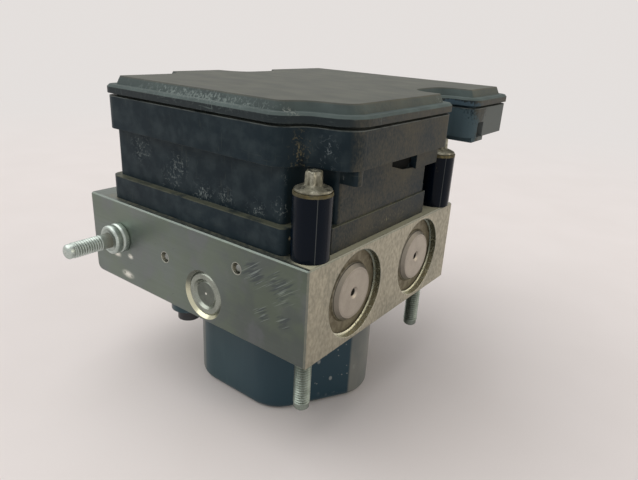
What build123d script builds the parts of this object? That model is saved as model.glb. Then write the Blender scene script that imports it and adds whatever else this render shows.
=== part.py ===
from build123d import *
import os
from math import atan2, degrees, hypot

# Anti-lock brake module: valve block, pump motor below it and control unit on top, in millimetres.
# Frame: origin at the centre of the motor's end face, +Z along the motor's axis to the control unit's lid,
# +X towards the two accumulators, -Y towards the side stud.

# Valve block
block_length = 113.0
block_width = 99.0
block_height = 34.0
block_offset = -10.0  # from the motor's axis to the block's middle, along X
block_edge = 0.5
block_foot_radius = 3.0
seat_fit = 0.3  # room left at the end of a blind seat
slide_fit = 0.03  # radial room of a sliding part in its bore
overrun = 0.5  # how far a cut, or a form joined to another, runs past the face it meets

# Motor can, a rounded hexagon
motor_length = 39.0
motor_apothem = 35.2
motor_corner_radius = 15.6
motor_end_radius = 3.0
motor_wall = 2.0
flange_thickness = 2.5
flange_ledge = 2.2
ear_radius = 6.5
ear_x = 16.5
ear_offset = 7.3  # of an ear's screw from the can's flat
motor_screw_radius = 2.5
motor_screw_head_radius = 4.2
motor_screw_head_height = 4.5
motor_screw_depth = 12.0
motor_seal_width = 1.6
motor_seal_height = 1.0

# Rotor
shaft_radius = 5.0
rear_journal_radius = 4.0
rear_journal_length = 6.0
front_journal_radius = 4.5
shaft_tail_radius = 3.0
shaft_tail_length = 2.0
bush_wall = 3.0
bush_length = 5.6
cup_wall = 1.6
armature_radius = 26.5
armature_length = 15.0
air_gap = 0.5
slot_count = 12
slot_width = 4.0
slot_floor_radius = 14.0
winding_fit = 0.2
winding_radius = 25.0
end_turn_height = 2.6
commutator_radius = 10.0
commutator_length = 5.4
commutator_cut = 0.8
magnet_count = 6
magnet_width = 22.0
magnet_length = 21.0

# Brush gear
brush_plate_radius = 32.0
brush_plate_thickness = 2.2
brush_plate_bore = 12.4
brush_length = 8.0
brush_width = 5.0
brush_height = 4.0
brush_fit = 0.1
brush_gap = 0.3
rotor_room = 0.5  # between the end turns and the brush holders
holder_wall = 1.4
brush_spring_length = 5.0
brush_spring_radius = 1.5
brush_spring_wire = 0.5
brush_spring_turns = 3
terminal_x = 24.0
terminal_bore = 4.0
terminal_radius = 3.7
terminal_stand = 3.0
blade_width = 2.4
blade_thickness = 0.8
blade_spacing = 3.4

# Front bearing
bearing_width = 5.6
bearing_radius = 12.0
bearing_ring_wall = 2.1
bearing_inner_wall = 1.8
ball_fit = 0.02
ball_count = 6

# Pump
pump_height = 10.3  # of the piston axis over the block's underside
chamber_radius = 11.2
chamber_depth = 17.5
eccentric_throw = 1.2
eccentric_radius = 6.37
eccentric_ring_radius = 9.0
eccentric_ring_height = 7.8
ring_clearance = 0.1  # from the ring's largest sweep to a piston's tip
pump_piston_radius = 4.0
pump_piston_length = 15.0
pump_boss_radius = 2.4
pump_boss_length = 2.0
pump_sleeve_wall = 2.5
pump_sleeve_gap = 1.4
pump_plug_radius = 8.0
pump_plug_length = 7.0
pump_plug_depth = 0.7
pump_sink_radius = 9.2
pump_sink_depth = 1.1
plug_rim_width = 2.2
plug_dish_depth = 1.2
plug_disc_radius = 4.4
plug_disc_height = 0.5
pump_spring_radius = 3.1
pump_spring_wire = 0.8
pump_spring_turns = 6

# Accumulators
accumulator_y = 22.3
accumulator_height = 17.0  # of the axis over the block's underside
accumulator_recess_radius = 15.8
accumulator_recess_depth = 4.2
accumulator_bore = 12.5
accumulator_depth = 28.5
cover_flange_radius = 15.5
cover_sheet = 1.2
cover_disc_radius = 10.3
cover_disc_depth = 0.8
cover_edge_radius = 1.2
cover_foot_radius = 11.0  # of the disc's flank, where it meets the flange
cover_vent_radius = 1.2
cover_dimple_radius = 2.2
cover_dimple_depth = 0.8
lip_radius = 15.1
lip_width = 0.9
accumulator_piston_length = 8.5
accumulator_pocket_radius = 9.6
accumulator_floor = 3.0
piston_fit = 0.05
seal_width = 2.2
seal_depth = 1.6
seal_offset = 3.4
accumulator_spring_radius = 8.2
accumulator_spring_wire = 1.6
accumulator_spring_turns = 4

# Solenoid valves, in two rows of four
inlet_row_inset = 28.5  # from the block's left face
valve_row_gap = 22.0
valve_count = 4
valve_end_share = 0.24  # of a pitch, left over at the ends of a row
valve_radius = 5.5
valve_depth = 16.0
valve_waist_radius = 4.8
valve_waist_height = 3.0
dome_radius = 3.6
dome_height = 20.0
dome_end = 1.8
plunger_radius = 2.8
plunger_well = 5.0
plunger_length = 19.0
needle_radius = 1.0
needle_length = 3.0
valve_travel = 0.35
valve_end_room = 0.1
yoke_radius = 8.6
yoke_wall = 0.9
yoke_height = 18.4
coil_fit = 0.15
coil_height = 17.0
coil_waist = 0.5
coil_flange = 1.2
coil_pin = 0.7
coil_pin_offset = 1.6
coil_pin_reach = 5.6

# Drillings, balls, ports and studs
ball_hole_radius = 2.0
ball_radius = 1.95
ball_depth = 4.3
passage_radius = 1.6
left_passage_x = -20.5
left_passage_height = 18.7
left_passage_depth = 14.0
right_passage_x = 16.7
right_passage_height = 25.8
right_passage_depth = 11.0
port_pitch = 16.0
port_count = 6
port_height = 12.0
port_depth = 13.0
wheel_port_radius = 5.0
master_port_radius = 6.0
port_drill_radius = 2.2
port_drill_depth = 7.0
stud_radius = 3.0
stud_seat_radius = 3.4
stud_tip = 0.8
side_stud_inset = 19.0  # from the block's left face
side_stud_height = 19.5
side_stud_reach = 23.3
side_stud_seat = 10.0
shoulder_radius = 5.9
shoulder_length = 5.7
shoulder_groove = (2.1, 3.3)  # where the groove round the shoulder starts and ends, from the block
shoulder_groove_depth = 0.6
shoulder_edge = 0.7
bottom_stud_inset = (8.0, 9.9)  # from the block's right face and from its sides
bottom_stud_reach = 24.0
bottom_stud_seat = 12.0

# Control unit, heights counted from the block's top
foot_height = 9.0
foot_ledge = 2.7
collar_bottom = 27.4
collar_top = 39.4
collar_ledge = 2.9
lid_neck = 1.0
lid_flange = 3.0
lid_ledge = 3.4  # of the flange round the raised plate
lid_rise = 3.0
lid_rise_angle = 26.0  # of the plate's sides from upright
lid_edge = 0.8
lid_overhang = 0.6
neck_inset = 2.4
lid_roof = 2.2
unit_wall = 2.5
unit_floor = 2.0
collar_wall = 4.5
shelf_height = 30.0
wall_front_inset = 5.7
wall_left_inset = 13.0
wall_right_inset = 3.5
wall_back_inset = 3.5
wall_corner = 2.0
notch_edge = 2.0
notch_room = 2.6  # between a pillar and the wall round it
notch_corner = 4.0
rear_notch_room = 8.8
band_bottom = 19.7  # of the wall's upper band over the block's top
band_ledge = 1.0
band_room = 1.2
collar_overhang = 3.0  # of the collar past the block's right face
collar_left_inset = 11.0
left_bulge_inset = 1.5
left_tail_inset = 6.5
unit_tail = 39.6  # of the connector end past the block's back face
tail_gap = 2.0
collar_corner = 5.0
scallop_radii = (7.0, 7.0, 7.5)  # of the collar's three bends there
lid_scallop_radii = (7.0, 9.0, 11.0)
scallop_slope = (9.5, 5.5)  # where the scallop starts and ends, from the pillar along X
scallop_depth = 3.2  # of the scallop past the pillar's axis
scallop_rise = 2.0
collar_notch_room = 4.9
collar_notch_reach = 5.2  # of the rear notch past the screw's axis
left_step = 3.0
left_slope = 4.0
left_notch_end = 1.0
pillar_radius = 6.2
pillar_height = 20.6
pillar_bore = 4.0
bush_flange = 1.0
front_right_pillar = (-6.5, 8.7)  # from the block's corner to the pillar, along X and Y
back_right_pillar = (-5.5, -7.0)
front_left_pillar = (6.5, 20.5)
back_left_pillar = (6.5, -16.5)
web_width = 3.6
web_height = 9.0
web_grip = 2.0  # of a web's end in the wall
unit_screw_radius = 2.5
unit_screw_depth = 11.0
screw_flange_radius = 5.9
screw_flange_height = 2.2
screw_head_radius = 2.9
screw_head_height = 4.4
unit_seal_width = 1.2
unit_seal_height = 1.0
unit_seal_inset = 0.6
tab_width = 4.0
tab_height = 5.4
tab_reach = 6.2
tab_setback = 0.8
tab_corner = 1.9
rib_count = 3
rib_width = 1.6
rib_reach = 2.0
hatch_ends = (0.0, 16.3)  # of the opening under the collar, along Y
hatch_sill = (22.8, 20.6, 20.0)  # its sloping lower edge: start, middle and end
hatch_depth = 1.9

# Connector, its mouth downwards
mouth_height = 25.5  # of the shroud's rim over the block's top
socket_ceiling = 36.0
socket_length = 70.0
socket_width = 27.0
socket_middle_x = -2.0
shroud_wall = 2.2
shroud_front_gap = 2.4
nose_width = 12.0
nose_slot_width = 6.0
nose_slot_depth = 3.0
nose_slot_height = 8.0
nose_slot_shift = 0.3
nose_slot_sill = 2.0
socket_corner = 3.0
key_width = 2.4
key_reach = 1.6
key_count = 3
key_start = 2.0
pin_rows = 2
pin_count = 9
pin_pitch = 6.6
pin_row_spacing = 6.0
pin_width = 0.9
pin_tip = 3.4  # from the shroud's rim up to a pin's tip
pin_run_height = 38.0
pin_land = 6.0
pin_land_share = 0.125  # how the rows of pins close up on the board

# Circuit board
board_thickness = 1.6
board_rest = 1.2
board_end_room = 0.4
processor_place = (3.0, -11.0)
processor_size = (18.0, 18.0, 1.8)
driver_inset = (21.5, 14.8)  # from the right and the front wall
driver_size = (7.0, 6.0, 2.2)
driver_count = 4
driver_pitch = 9.0
capacitor_inset = (12.5, 13.8)  # from the left and the front wall
capacitor_radius = 4.0
capacitor_height = 5.5
capacitor_count = 3
capacitor_pitch = 11.0
shunt_inset = (10.1, 36.6)
shunt_size = (3.2, 1.6, 0.9)
shunt_count = 5
shunt_pitch = 8.0

# Worked out from the sizes above
block_bottom = motor_length
block_top = block_bottom + block_height
block_left = block_offset - block_length / 2
block_right = block_offset + block_length / 2
block_front = -block_width / 2
block_back = block_width / 2
pump_z = block_bottom + pump_height
accumulator_z = block_bottom + accumulator_height
ear_y = motor_apothem + ear_offset
inlet_row_x = block_left + inlet_row_inset
outlet_row_x = inlet_row_x + valve_row_gap
side_stud_x = block_left + side_stud_inset
bottom_stud_x = block_right - bottom_stud_inset[0]
bottom_stud_y = block_back - bottom_stud_inset[1]
piston_tip = eccentric_throw + eccentric_ring_radius + ring_clearance
sleeve_start = max(chamber_radius, bearing_radius) + pump_sleeve_gap / 2
sleeve_radius = pump_piston_radius + pump_sleeve_wall
plug_inner_end = block_back - pump_plug_depth - pump_plug_length
cover_seat = block_right - accumulator_recess_depth
piston_rest = block_right - accumulator_depth + seat_fit
wall_front = block_front + wall_front_inset
wall_back = block_back - wall_back_inset
wall_left = block_left + wall_left_inset
wall_right = block_right - wall_right_inset
collar_front = wall_front - collar_ledge
collar_right = block_right + collar_overhang
unit_back = block_back + unit_tail
tail_front = block_back + tail_gap
board_bottom = block_top + shelf_height
board_top = board_bottom + board_thickness
valve_pitch = (wall_back - wall_front - 2 * unit_wall) / (valve_count + valve_end_share)
valve_rows = [(index - (valve_count - 1) / 2) * valve_pitch for index in range(valve_count)]
plate_bottom = block_bottom - seat_fit - brush_plate_thickness
brush_middle_z = plate_bottom - holder_wall - brush_height / 2
commutator_top = plate_bottom - seat_fit
holder_bottom = brush_middle_z - brush_height / 2 - brush_fit - holder_wall
armature_top = holder_bottom - rotor_room - end_turn_height
armature_bottom = armature_top - armature_length
sides = (("front", -1), ("rear", 1))


def pillar_places():
    """The four screw pillars, as (x, y)."""
    return [
        (block_right + front_right_pillar[0], block_front + front_right_pillar[1]),
        (block_right + back_right_pillar[0], block_back + back_right_pillar[1]),
        (block_left + front_left_pillar[0], block_front + front_left_pillar[1]),
        (block_left + back_left_pillar[0], block_back + back_left_pillar[1]),
    ]


def rod(radius, low, high, x=0.0, y=0.0):
    """A cylinder along Z."""
    return Pos(x, y, (low + high) / 2) * Cylinder(radius, high - low)


def rod_x(radius, low, high, y, z):
    """A cylinder along X."""
    return Pos((low + high) / 2, y, z) * Rot(0, 90, 0) * Cylinder(radius, high - low)


def rod_y(radius, low, high, x, z):
    """A cylinder along Y."""
    return Pos(x, (low + high) / 2, z) * Rot(90, 0, 0) * Cylinder(radius, abs(high - low))


def tube(outer, inner, low, high, x=0.0, y=0.0):
    """A straight tube along Z."""
    return rod(outer, low, high, x, y) - rod(inner, low, high, x, y)


def brick(x_span, y_span, z_span):
    """A box between the two ends given along each axis."""
    spans = (x_span, y_span, z_span)
    middle = [(low + high) / 2 for low, high in spans]
    return Pos(*middle) * Box(*[abs(high - low) for low, high in spans])


def slab(face, low, high):
    """A flat outline made solid between two heights."""
    return extrude(Pos(0, 0, low) * face, amount=high - low)


def turned(points):
    """A solid of revolution about Z from its (radius, height) outline."""
    return revolve(Plane.XZ * make_face(Polyline(*points, close=True)), axis=Axis.Z)


def rounded(points, radii):
    """A face whose straight sides meet in arcs."""
    return make_face(FilletPolyline(*points, radius=radii, close=True))


def rounded_hexagon(apothem, corner_radius):
    """A hexagon with corners on the X axis, across flats twice the apothem."""
    outline = RegularPolygon(apothem, 6, major_radius=False)
    return fillet(outline.vertices(), corner_radius)


def spring(radius, wire, low, high, turns):
    """A coil spring of square wire along Z."""
    length = high - low - wire
    path = Helix(length / turns, length, radius)
    section = Plane(path @ 0, z_dir=path % 0, x_dir=(1, 0, 0)) * Rectangle(wire, wire)
    return Pos(0, 0, low + wire / 2) * sweep(section, path=path, is_frenet=True)


def together(solids):
    """Separate solids as one group."""
    return Compound(children=list(solids))


def save(shape, name):
    """Writes one node."""
    export_step(shape, f"parts/{name}.step")


# Valve block and what is pressed into it


def passages():
    """The cross drillings closed by balls: (x, side, height, depth)."""
    left = (left_passage_x, block_bottom + left_passage_height, left_passage_depth)
    right = (right_passage_x, block_bottom + right_passage_height, right_passage_depth)
    return [(x, side, z, depth) for x, z, depth in (left, right) for _, side in sides]


def port_places():
    """The six hydraulic ports on the left face, as (y, radius)."""
    places = [(index - (port_count - 1) / 2) * port_pitch for index in range(port_count)]
    return [(y, master_port_radius if abs(y) < port_pitch else wheel_port_radius) for y in places]


def port_bores():
    """The ports' blind threads and the drillings behind them."""
    height = block_bottom + port_height
    bottom = block_left + port_depth
    bores = []
    for y, radius in port_places():
        bores.append(rod_x(radius, block_left, bottom, y, height))
        bores.append(rod_x(port_drill_radius, bottom, bottom + port_drill_depth, y, height))
    return bores


def pump_bores():
    """Sleeve bore, plug bore and sunk mouth on each side."""
    bores = []
    for _, side in sides:
        face = side * block_back
        bores.append(rod_y(sleeve_radius, 0, face, 0, pump_z))
        bores.append(rod_y(pump_plug_radius, side * plug_inner_end, face, 0, pump_z))
        sink = Cone(pump_plug_radius, pump_sink_radius, pump_sink_depth)
        tilt = Rot(-90 * side, 0, 0)
        bores.append(Pos(0, side * (block_back - pump_sink_depth / 2), pump_z) * tilt * sink)
    return bores


def accumulator_bores():
    """Bore and cover recess of each accumulator."""
    bores = []
    for _, side in sides:
        y = side * accumulator_y
        bottom = block_right - accumulator_depth
        bores.append(rod_x(accumulator_bore, bottom, block_right, y, accumulator_z))
        bores.append(rod_x(accumulator_recess_radius, cover_seat, block_right, y, accumulator_z))
    return bores


def staked_lip(side):
    """The ring of block metal that is rolled over an accumulator cover's flange."""
    low = cover_sheet
    points = [
        (accumulator_recess_radius + block_edge, low),
        (lip_radius, low + lip_width / 2),
        (accumulator_recess_radius + block_edge, low + lip_width),
    ]
    return Pos(cover_seat, side * accumulator_y, accumulator_z) * Rot(0, 90, 0) * turned(points)


def block_bores():
    """Every bore that runs along Z."""
    bores = [
        rod(bearing_radius, block_bottom, block_bottom + bearing_width),
        rod(chamber_radius, block_bottom, block_bottom + chamber_depth),
        rod(terminal_bore, block_bottom, block_top, terminal_x),
    ]
    for row_x in (inlet_row_x, outlet_row_x):
        bores += [rod(valve_radius, block_top - valve_depth, block_top, row_x, y) for y in valve_rows]
    screw_floor = block_top - unit_screw_depth - seat_fit
    bores += [rod(unit_screw_radius, screw_floor, block_top, x, y) for x, y in pillar_places()]
    for side in (-1, 1):
        top = block_bottom + motor_screw_depth + seat_fit
        bores.append(rod(motor_screw_radius, block_bottom, top, side * ear_x, side * ear_y))
        top = block_bottom + bottom_stud_seat
        bores.append(rod(stud_seat_radius, block_bottom, top, bottom_stud_x, side * bottom_stud_y))
    return bores


def motor_seal_ring():
    """The seal between the motor's flange and the block, a hexagonal frame."""
    inner = rounded_hexagon(motor_apothem - seat_fit, motor_corner_radius - seat_fit)
    outer_apothem = motor_apothem - seat_fit + motor_seal_width
    outer = rounded_hexagon(outer_apothem, motor_corner_radius - seat_fit + motor_seal_width)
    return slab(outer - inner, block_bottom, block_bottom + motor_seal_height)


def valve_block():
    """The machined block with all its bores."""
    body = brick((block_left, block_right), (block_front, block_back), (block_bottom, block_top))
    foot_edges = body.edges().filter_by(Axis.Y).filter_by_position(Axis.X, block_left, block_left)
    body = fillet(foot_edges.sort_by(Axis.Z)[0], block_foot_radius)
    body = chamfer(body.edges().filter_by(Axis.Z), block_edge)
    top_edges = body.edges().filter_by_position(Axis.Z, block_top, block_top)
    body = chamfer(top_edges, block_edge)
    for bore in block_bores() + pump_bores() + accumulator_bores() + port_bores():
        body -= bore
    for x, side, z, depth in passages():
        face = side * block_back
        body -= rod_y(ball_hole_radius, face - side * ball_depth, face, x, z)
        body -= rod_y(passage_radius, face - side * depth, face, x, z)
    stud_z = block_bottom + side_stud_height
    body -= rod_y(stud_seat_radius, block_front, block_front + side_stud_seat, side_stud_x, stud_z)
    body -= motor_seal_ring()
    for _, side in sides:
        body += staked_lip(side)
    return body


def passage_balls():
    """The steel balls pressed into the cross drillings."""
    balls = []
    for x, side, z, _ in passages():
        y = side * (block_back - ball_depth + ball_radius)
        balls.append(Pos(x, y, z) * Sphere(ball_radius))
    return together(balls)


def stud(low, high, shoulder=False):
    """A threaded stud along Z with a chamfered tip, its threads left plain."""
    points = [(0, low), (stud_seat_radius, low), (stud_seat_radius, 0), (stud_radius, 0)]
    points += [(stud_radius, high - stud_tip), (stud_radius - stud_tip, high), (0, high)]
    body = turned(points)
    if shoulder:
        waist = shoulder_radius - shoulder_groove_depth
        middle = sum(shoulder_groove) / 2
        collar = [
            (0, 0),
            (shoulder_radius, 0),
            (shoulder_radius, shoulder_groove[0]),
            (waist, middle),
            (shoulder_radius, shoulder_groove[1]),
            (shoulder_radius, shoulder_length - shoulder_edge),
            (shoulder_radius - shoulder_edge, shoulder_length),
            (0, shoulder_length),
        ]
        body += turned(collar)
    return body


def side_stud():
    """The shouldered stud in the front face."""
    place = Pos(side_stud_x, block_front, block_bottom + side_stud_height) * Rot(90, 0, 0)
    return place * stud(-side_stud_seat, side_stud_reach, shoulder=True)


def bottom_studs():
    """The two plain studs under the block's right end."""
    body = stud(-bottom_stud_seat, bottom_stud_reach)
    body = Pos(bottom_stud_x, 0, block_bottom) * Rot(180, 0, 0) * body
    return together(Pos(0, side * bottom_stud_y, 0) * body for side in (-1, 1))


# Pump


def pump_plug(side):
    """The dished plug that closes a pump bore."""
    length = pump_plug_length
    points = [
        (0, 0),
        (pump_plug_radius, 0),
        (pump_plug_radius, length - block_edge),
        (pump_plug_radius - block_edge, length),
        (pump_plug_radius - plug_rim_width, length),
        (plug_disc_radius + block_edge, length - plug_dish_depth),
        (plug_disc_radius, length - plug_dish_depth + plug_disc_height),
        (0, length - plug_dish_depth + plug_disc_height),
    ]
    return Pos(0, side * plug_inner_end, pump_z) * Rot(-90 * side, 0, 0) * turned(points)


def pump_sleeve(side):
    """The steel sleeve that guides a pump piston."""
    low = side * sleeve_start
    high = side * plug_inner_end
    outer = rod_y(sleeve_radius, low, high, 0, pump_z)
    return outer - rod_y(pump_piston_radius, low, high, 0, pump_z)


def pump_piston(side):
    """A pump piston with the boss that centres its spring."""
    end = piston_tip + pump_piston_length
    body = rod_y(pump_piston_radius - slide_fit, side * piston_tip, side * end, 0, pump_z)
    boss_end = end + pump_boss_length
    return body + rod_y(pump_boss_radius, side * end, side * boss_end, 0, pump_z)


def pump_spring(side):
    """The return spring between a pump piston and its plug."""
    low = piston_tip + pump_piston_length
    coil = spring(pump_spring_radius, pump_spring_wire, low, plug_inner_end, pump_spring_turns)
    return Pos(0, 0, pump_z) * Rot(-90 * side, 0, 0) * coil


def eccentric_ring():
    """The ring that turns on the shaft's eccentric and drives both pistons."""
    low = pump_z - eccentric_ring_height / 2
    high = pump_z + eccentric_ring_height / 2
    return tube(eccentric_ring_radius, eccentric_radius + slide_fit, low, high, eccentric_throw)


# Accumulators


def along_x(shape, side):
    """Carries a part made along Z to an accumulator's axis, its height counted as X."""
    return Pos(0, side * accumulator_y, accumulator_z) * Rot(0, 90, 0) * shape


def accumulator_cover(side):
    """A pressed steel cover with a raised disc and a vent."""
    seat = cover_seat
    face = block_right - cover_disc_depth
    points = [
        (cover_vent_radius, face - cover_dimple_depth),
        (cover_dimple_radius, face),
        (cover_disc_radius - cover_edge_radius, face),
        (cover_disc_radius, face - cover_edge_radius),
        (cover_foot_radius, seat + cover_sheet),
        (cover_flange_radius, seat + cover_sheet),
        (cover_flange_radius, seat),
        (cover_foot_radius - cover_sheet, seat),
        (cover_disc_radius - cover_sheet, face - cover_sheet),
        (cover_vent_radius, face - cover_sheet),
    ]
    return along_x(turned(points), side)


def accumulator_piston(side):
    """A cup-shaped piston, open towards its spring."""
    low = piston_rest
    high = low + accumulator_piston_length
    radius = accumulator_bore - piston_fit
    groove = low + seal_offset
    body = rod(radius, low, high)
    body -= rod(accumulator_pocket_radius, low + accumulator_floor, high)
    body -= tube(radius, radius - seal_depth, groove, groove + seal_width)
    return along_x(body, side)


def accumulator_seal(side):
    """The rubber ring in a piston's groove."""
    radius = accumulator_bore - piston_fit
    groove = piston_rest + seal_offset
    return along_x(tube(radius, radius - seal_depth, groove, groove + seal_width), side)


def accumulator_spring(side):
    """The spring between a piston's floor and its cover."""
    low = piston_rest + accumulator_floor
    high = block_right - cover_disc_depth - cover_sheet
    coil = spring(accumulator_spring_radius, accumulator_spring_wire, low, high, accumulator_spring_turns)
    return along_x(coil, side)


# Valves


def valve_body():
    """A valve insert with its closed dome; the height is counted from the block's top."""
    waist = -valve_depth / 2
    points = [
        (0, -valve_depth),
        (valve_radius - block_edge, -valve_depth),
        (valve_radius, -valve_depth + block_edge),
        (valve_radius, waist - valve_waist_height / 2),
        (valve_waist_radius, waist - valve_waist_height / 2),
        (valve_waist_radius, waist + valve_waist_height / 2),
        (valve_radius, waist + valve_waist_height / 2),
        (valve_radius, 0),
        (dome_radius, block_edge),
        (dome_radius, dome_height - dome_end),
        (dome_radius - dome_end, dome_height),
        (0, dome_height),
    ]
    return turned(points) - rod(plunger_radius, -plunger_well, dome_height - dome_end)


def valve_bodies(row_x):
    """One row of four valve inserts."""
    return together(Pos(row_x, y, block_top) * valve_body() for y in valve_rows)


def plunger(row_x, y, rests_low):
    """A valve plunger with its needle; an inlet valve rests open, an outlet valve shut."""
    floor = block_top - plunger_well
    roof = block_top + dome_height - dome_end
    total = needle_length + plunger_length
    low = floor + valve_end_room if rests_low else roof - valve_end_room - total
    needle_top = low + needle_length
    body = rod(plunger_radius - slide_fit, needle_top, low + total, x=row_x, y=y)
    return body + rod(needle_radius, low, needle_top, row_x, y)


# Motor


def motor_flange():
    """The can's flange with its two screw ears."""
    outline = rounded_hexagon(motor_apothem + flange_ledge, motor_corner_radius + flange_ledge)
    reach = hypot(ear_x, ear_y)
    turn = degrees(atan2(ear_y, ear_x))
    for angle in (turn, turn + 180):
        outline += Rot(0, 0, angle) * Pos(reach / 2, 0) * Rectangle(reach, 2 * ear_radius)
        outline += Rot(0, 0, angle) * Pos(reach, 0) * Circle(ear_radius)
    return slab(outline, block_bottom - flange_thickness, block_bottom)


def motor_housing():
    """The deep-drawn can, open towards the block, with the rear bush's cup."""
    can = slab(rounded_hexagon(motor_apothem, motor_corner_radius), 0, motor_length)
    can = fillet(can.edges().group_by(Axis.Z)[0], motor_end_radius)
    can += motor_flange()
    hollow = rounded_hexagon(motor_apothem - motor_wall, motor_corner_radius - motor_wall)
    can -= slab(hollow, motor_wall, motor_length)
    bush_radius = rear_journal_radius + bush_wall
    can += tube(bush_radius + cup_wall, bush_radius, motor_wall, motor_wall + bush_length)
    for side in (-1, 1):
        hole = motor_screw_radius + seat_fit
        can -= rod(hole, block_bottom - flange_thickness, block_bottom, side * ear_x, side * ear_y)
    return can


def rear_bush():
    """The plain bearing at the can's end."""
    return tube(rear_journal_radius + bush_wall, rear_journal_radius, motor_wall, motor_wall + bush_length)


def motor_magnets():
    """Six magnets, flat against the can and hollowed round the armature."""
    low = (armature_bottom + armature_top - magnet_length) / 2
    inner = armature_radius + air_gap
    outer = motor_apothem - motor_wall
    bar = brick((inner / 2, outer), (-magnet_width / 2, magnet_width / 2), (low, low + magnet_length))
    bar -= rod(inner, low, low + magnet_length)
    step = 360 / magnet_count
    return together(Rot(0, 0, step * (index + 0.5)) * bar for index in range(magnet_count))


def motor_shaft():
    """The stepped shaft with the pump's eccentric near its top."""
    rear = motor_wall + seat_fit
    shoulder = rear + rear_journal_length
    seat = block_bottom - seat_fit
    eccentric_low = block_bottom + bearing_width + seat_fit
    eccentric_high = pump_z + eccentric_ring_height / 2 + seat_fit
    body = rod(rear_journal_radius - slide_fit, rear, shoulder)
    body += rod(shaft_radius, shoulder, seat)
    body += rod(front_journal_radius, seat, eccentric_low)
    body += rod(eccentric_radius, eccentric_low, eccentric_high, eccentric_throw)
    return body + rod(shaft_tail_radius, eccentric_high, eccentric_high + shaft_tail_length)


def slot_angles():
    """Directions of the armature's slots."""
    return [360 / slot_count * index for index in range(slot_count)]


def armature_core():
    """The slotted stack of laminations."""
    core = tube(armature_radius, shaft_radius, armature_bottom, armature_top)
    slot_span = (slot_floor_radius, armature_radius + air_gap)
    slot = brick(slot_span, (-slot_width / 2, slot_width / 2), (armature_bottom, armature_top))
    for angle in slot_angles():
        core -= Rot(0, 0, angle) * slot
    return core


def armature_windings():
    """The coils: a bar in every slot, joined by the end turns."""
    inner = slot_floor_radius + winding_fit
    half = slot_width / 2 - winding_fit
    low = armature_bottom - end_turn_height
    high = armature_top + end_turn_height
    coils = tube(winding_radius, inner, low, armature_bottom)
    coils += tube(winding_radius, inner, armature_top, high)
    bar = brick((inner, winding_radius - air_gap), (-half, half), (low, high))
    for angle in slot_angles():
        coils += Rot(0, 0, angle) * bar
    return coils


def commutator():
    """The copper segments on their hub."""
    low = commutator_top - commutator_length
    body = tube(commutator_radius, shaft_radius, low, commutator_top)
    depth = commutator_radius - commutator_cut
    x_span = (depth, commutator_radius + overrun)
    cut = brick(x_span, (-commutator_cut / 2, commutator_cut / 2), (low, commutator_top))
    for angle in slot_angles():
        body -= Rot(0, 0, angle) * cut
    return body


def motor_screws():
    """The two screws that hold the motor to the block."""
    seat = block_bottom - flange_thickness
    screws = []
    for side in (-1, 1):
        x, y = side * ear_x, side * ear_y
        head = rod(motor_screw_head_radius, seat - motor_screw_head_height, seat, x, y)
        screws.append(head + rod(motor_screw_radius, seat, block_bottom + motor_screw_depth, x, y))
    return together(screws)


def brush_spans():
    """Start and end of a brush along its radius, and the end of its spring."""
    start = commutator_radius + brush_gap
    end = start + brush_length
    return start, end, end + brush_spring_length


def brush_plate():
    """The moulded plate with a holder for each brush."""
    start, _, spring_end = brush_spans()
    plate = tube(brush_plate_radius, brush_plate_bore, plate_bottom, plate_bottom + brush_plate_thickness)
    half = brush_width / 2 + brush_fit
    rise = brush_height / 2 + brush_fit
    for turn in (0, 180):
        x_span = (start + holder_wall, spring_end + holder_wall)
        holder = brick(x_span, (-half - holder_wall, half + holder_wall), (holder_bottom, plate_bottom))
        well = brick((start, spring_end), (-half, half), (brush_middle_z - rise, brush_middle_z + rise))
        plate += Rot(0, 0, turn) * holder
        plate -= Rot(0, 0, turn) * well
    return plate


def carbon_brushes():
    """Two brushes hollowed to the commutator."""
    start, end, _ = brush_spans()
    z_span = (brush_middle_z - brush_height / 2, brush_middle_z + brush_height / 2)
    bar = brick((start / 2, end), (-brush_width / 2, brush_width / 2), z_span)
    bar -= rod(start, *z_span)
    return together(Rot(0, 0, turn) * bar for turn in (0, 180))


def brush_springs():
    """A small coil spring behind each brush."""
    _, end, spring_end = brush_spans()
    coil = spring(brush_spring_radius, brush_spring_wire, end, spring_end, brush_spring_turns)
    return together(Pos(0, 0, brush_middle_z) * Rot(0, 90 * s, 0) * coil for s in (-1, 1))


def motor_terminals():
    """The stalk and its two blades that feed the motor from the circuit board."""
    low = plate_bottom + brush_plate_thickness
    high = block_top + unit_floor + terminal_stand
    stalk = rod(terminal_radius, low, high, terminal_x)
    for side in (-1, 1):
        y = side * blade_spacing / 2
        x_span = (terminal_x - blade_width / 2, terminal_x + blade_width / 2)
        y_span = (y - blade_thickness / 2, y + blade_thickness / 2)
        stalk += brick(x_span, y_span, (high, board_bottom))
    return stalk


def bearing_outer_ring():
    """The front bearing's fixed ring."""
    inner = bearing_radius - bearing_ring_wall
    return tube(bearing_radius, inner, block_bottom, block_bottom + bearing_width)


def bearing_inner_ring():
    """The front bearing's ring on the shaft."""
    outer = front_journal_radius + bearing_inner_wall
    return tube(outer, front_journal_radius, block_bottom, block_bottom + bearing_width)


def bearing_balls():
    """The front bearing's balls."""
    inner = front_journal_radius + bearing_inner_wall
    outer = bearing_radius - bearing_ring_wall
    radius = (outer - inner) / 2 - ball_fit
    ball = Pos((inner + outer) / 2, 0, block_bottom + bearing_width / 2) * Sphere(radius)
    return together(Rot(0, 0, 360 / ball_count * index) * ball for index in range(ball_count))


# Control unit


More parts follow.
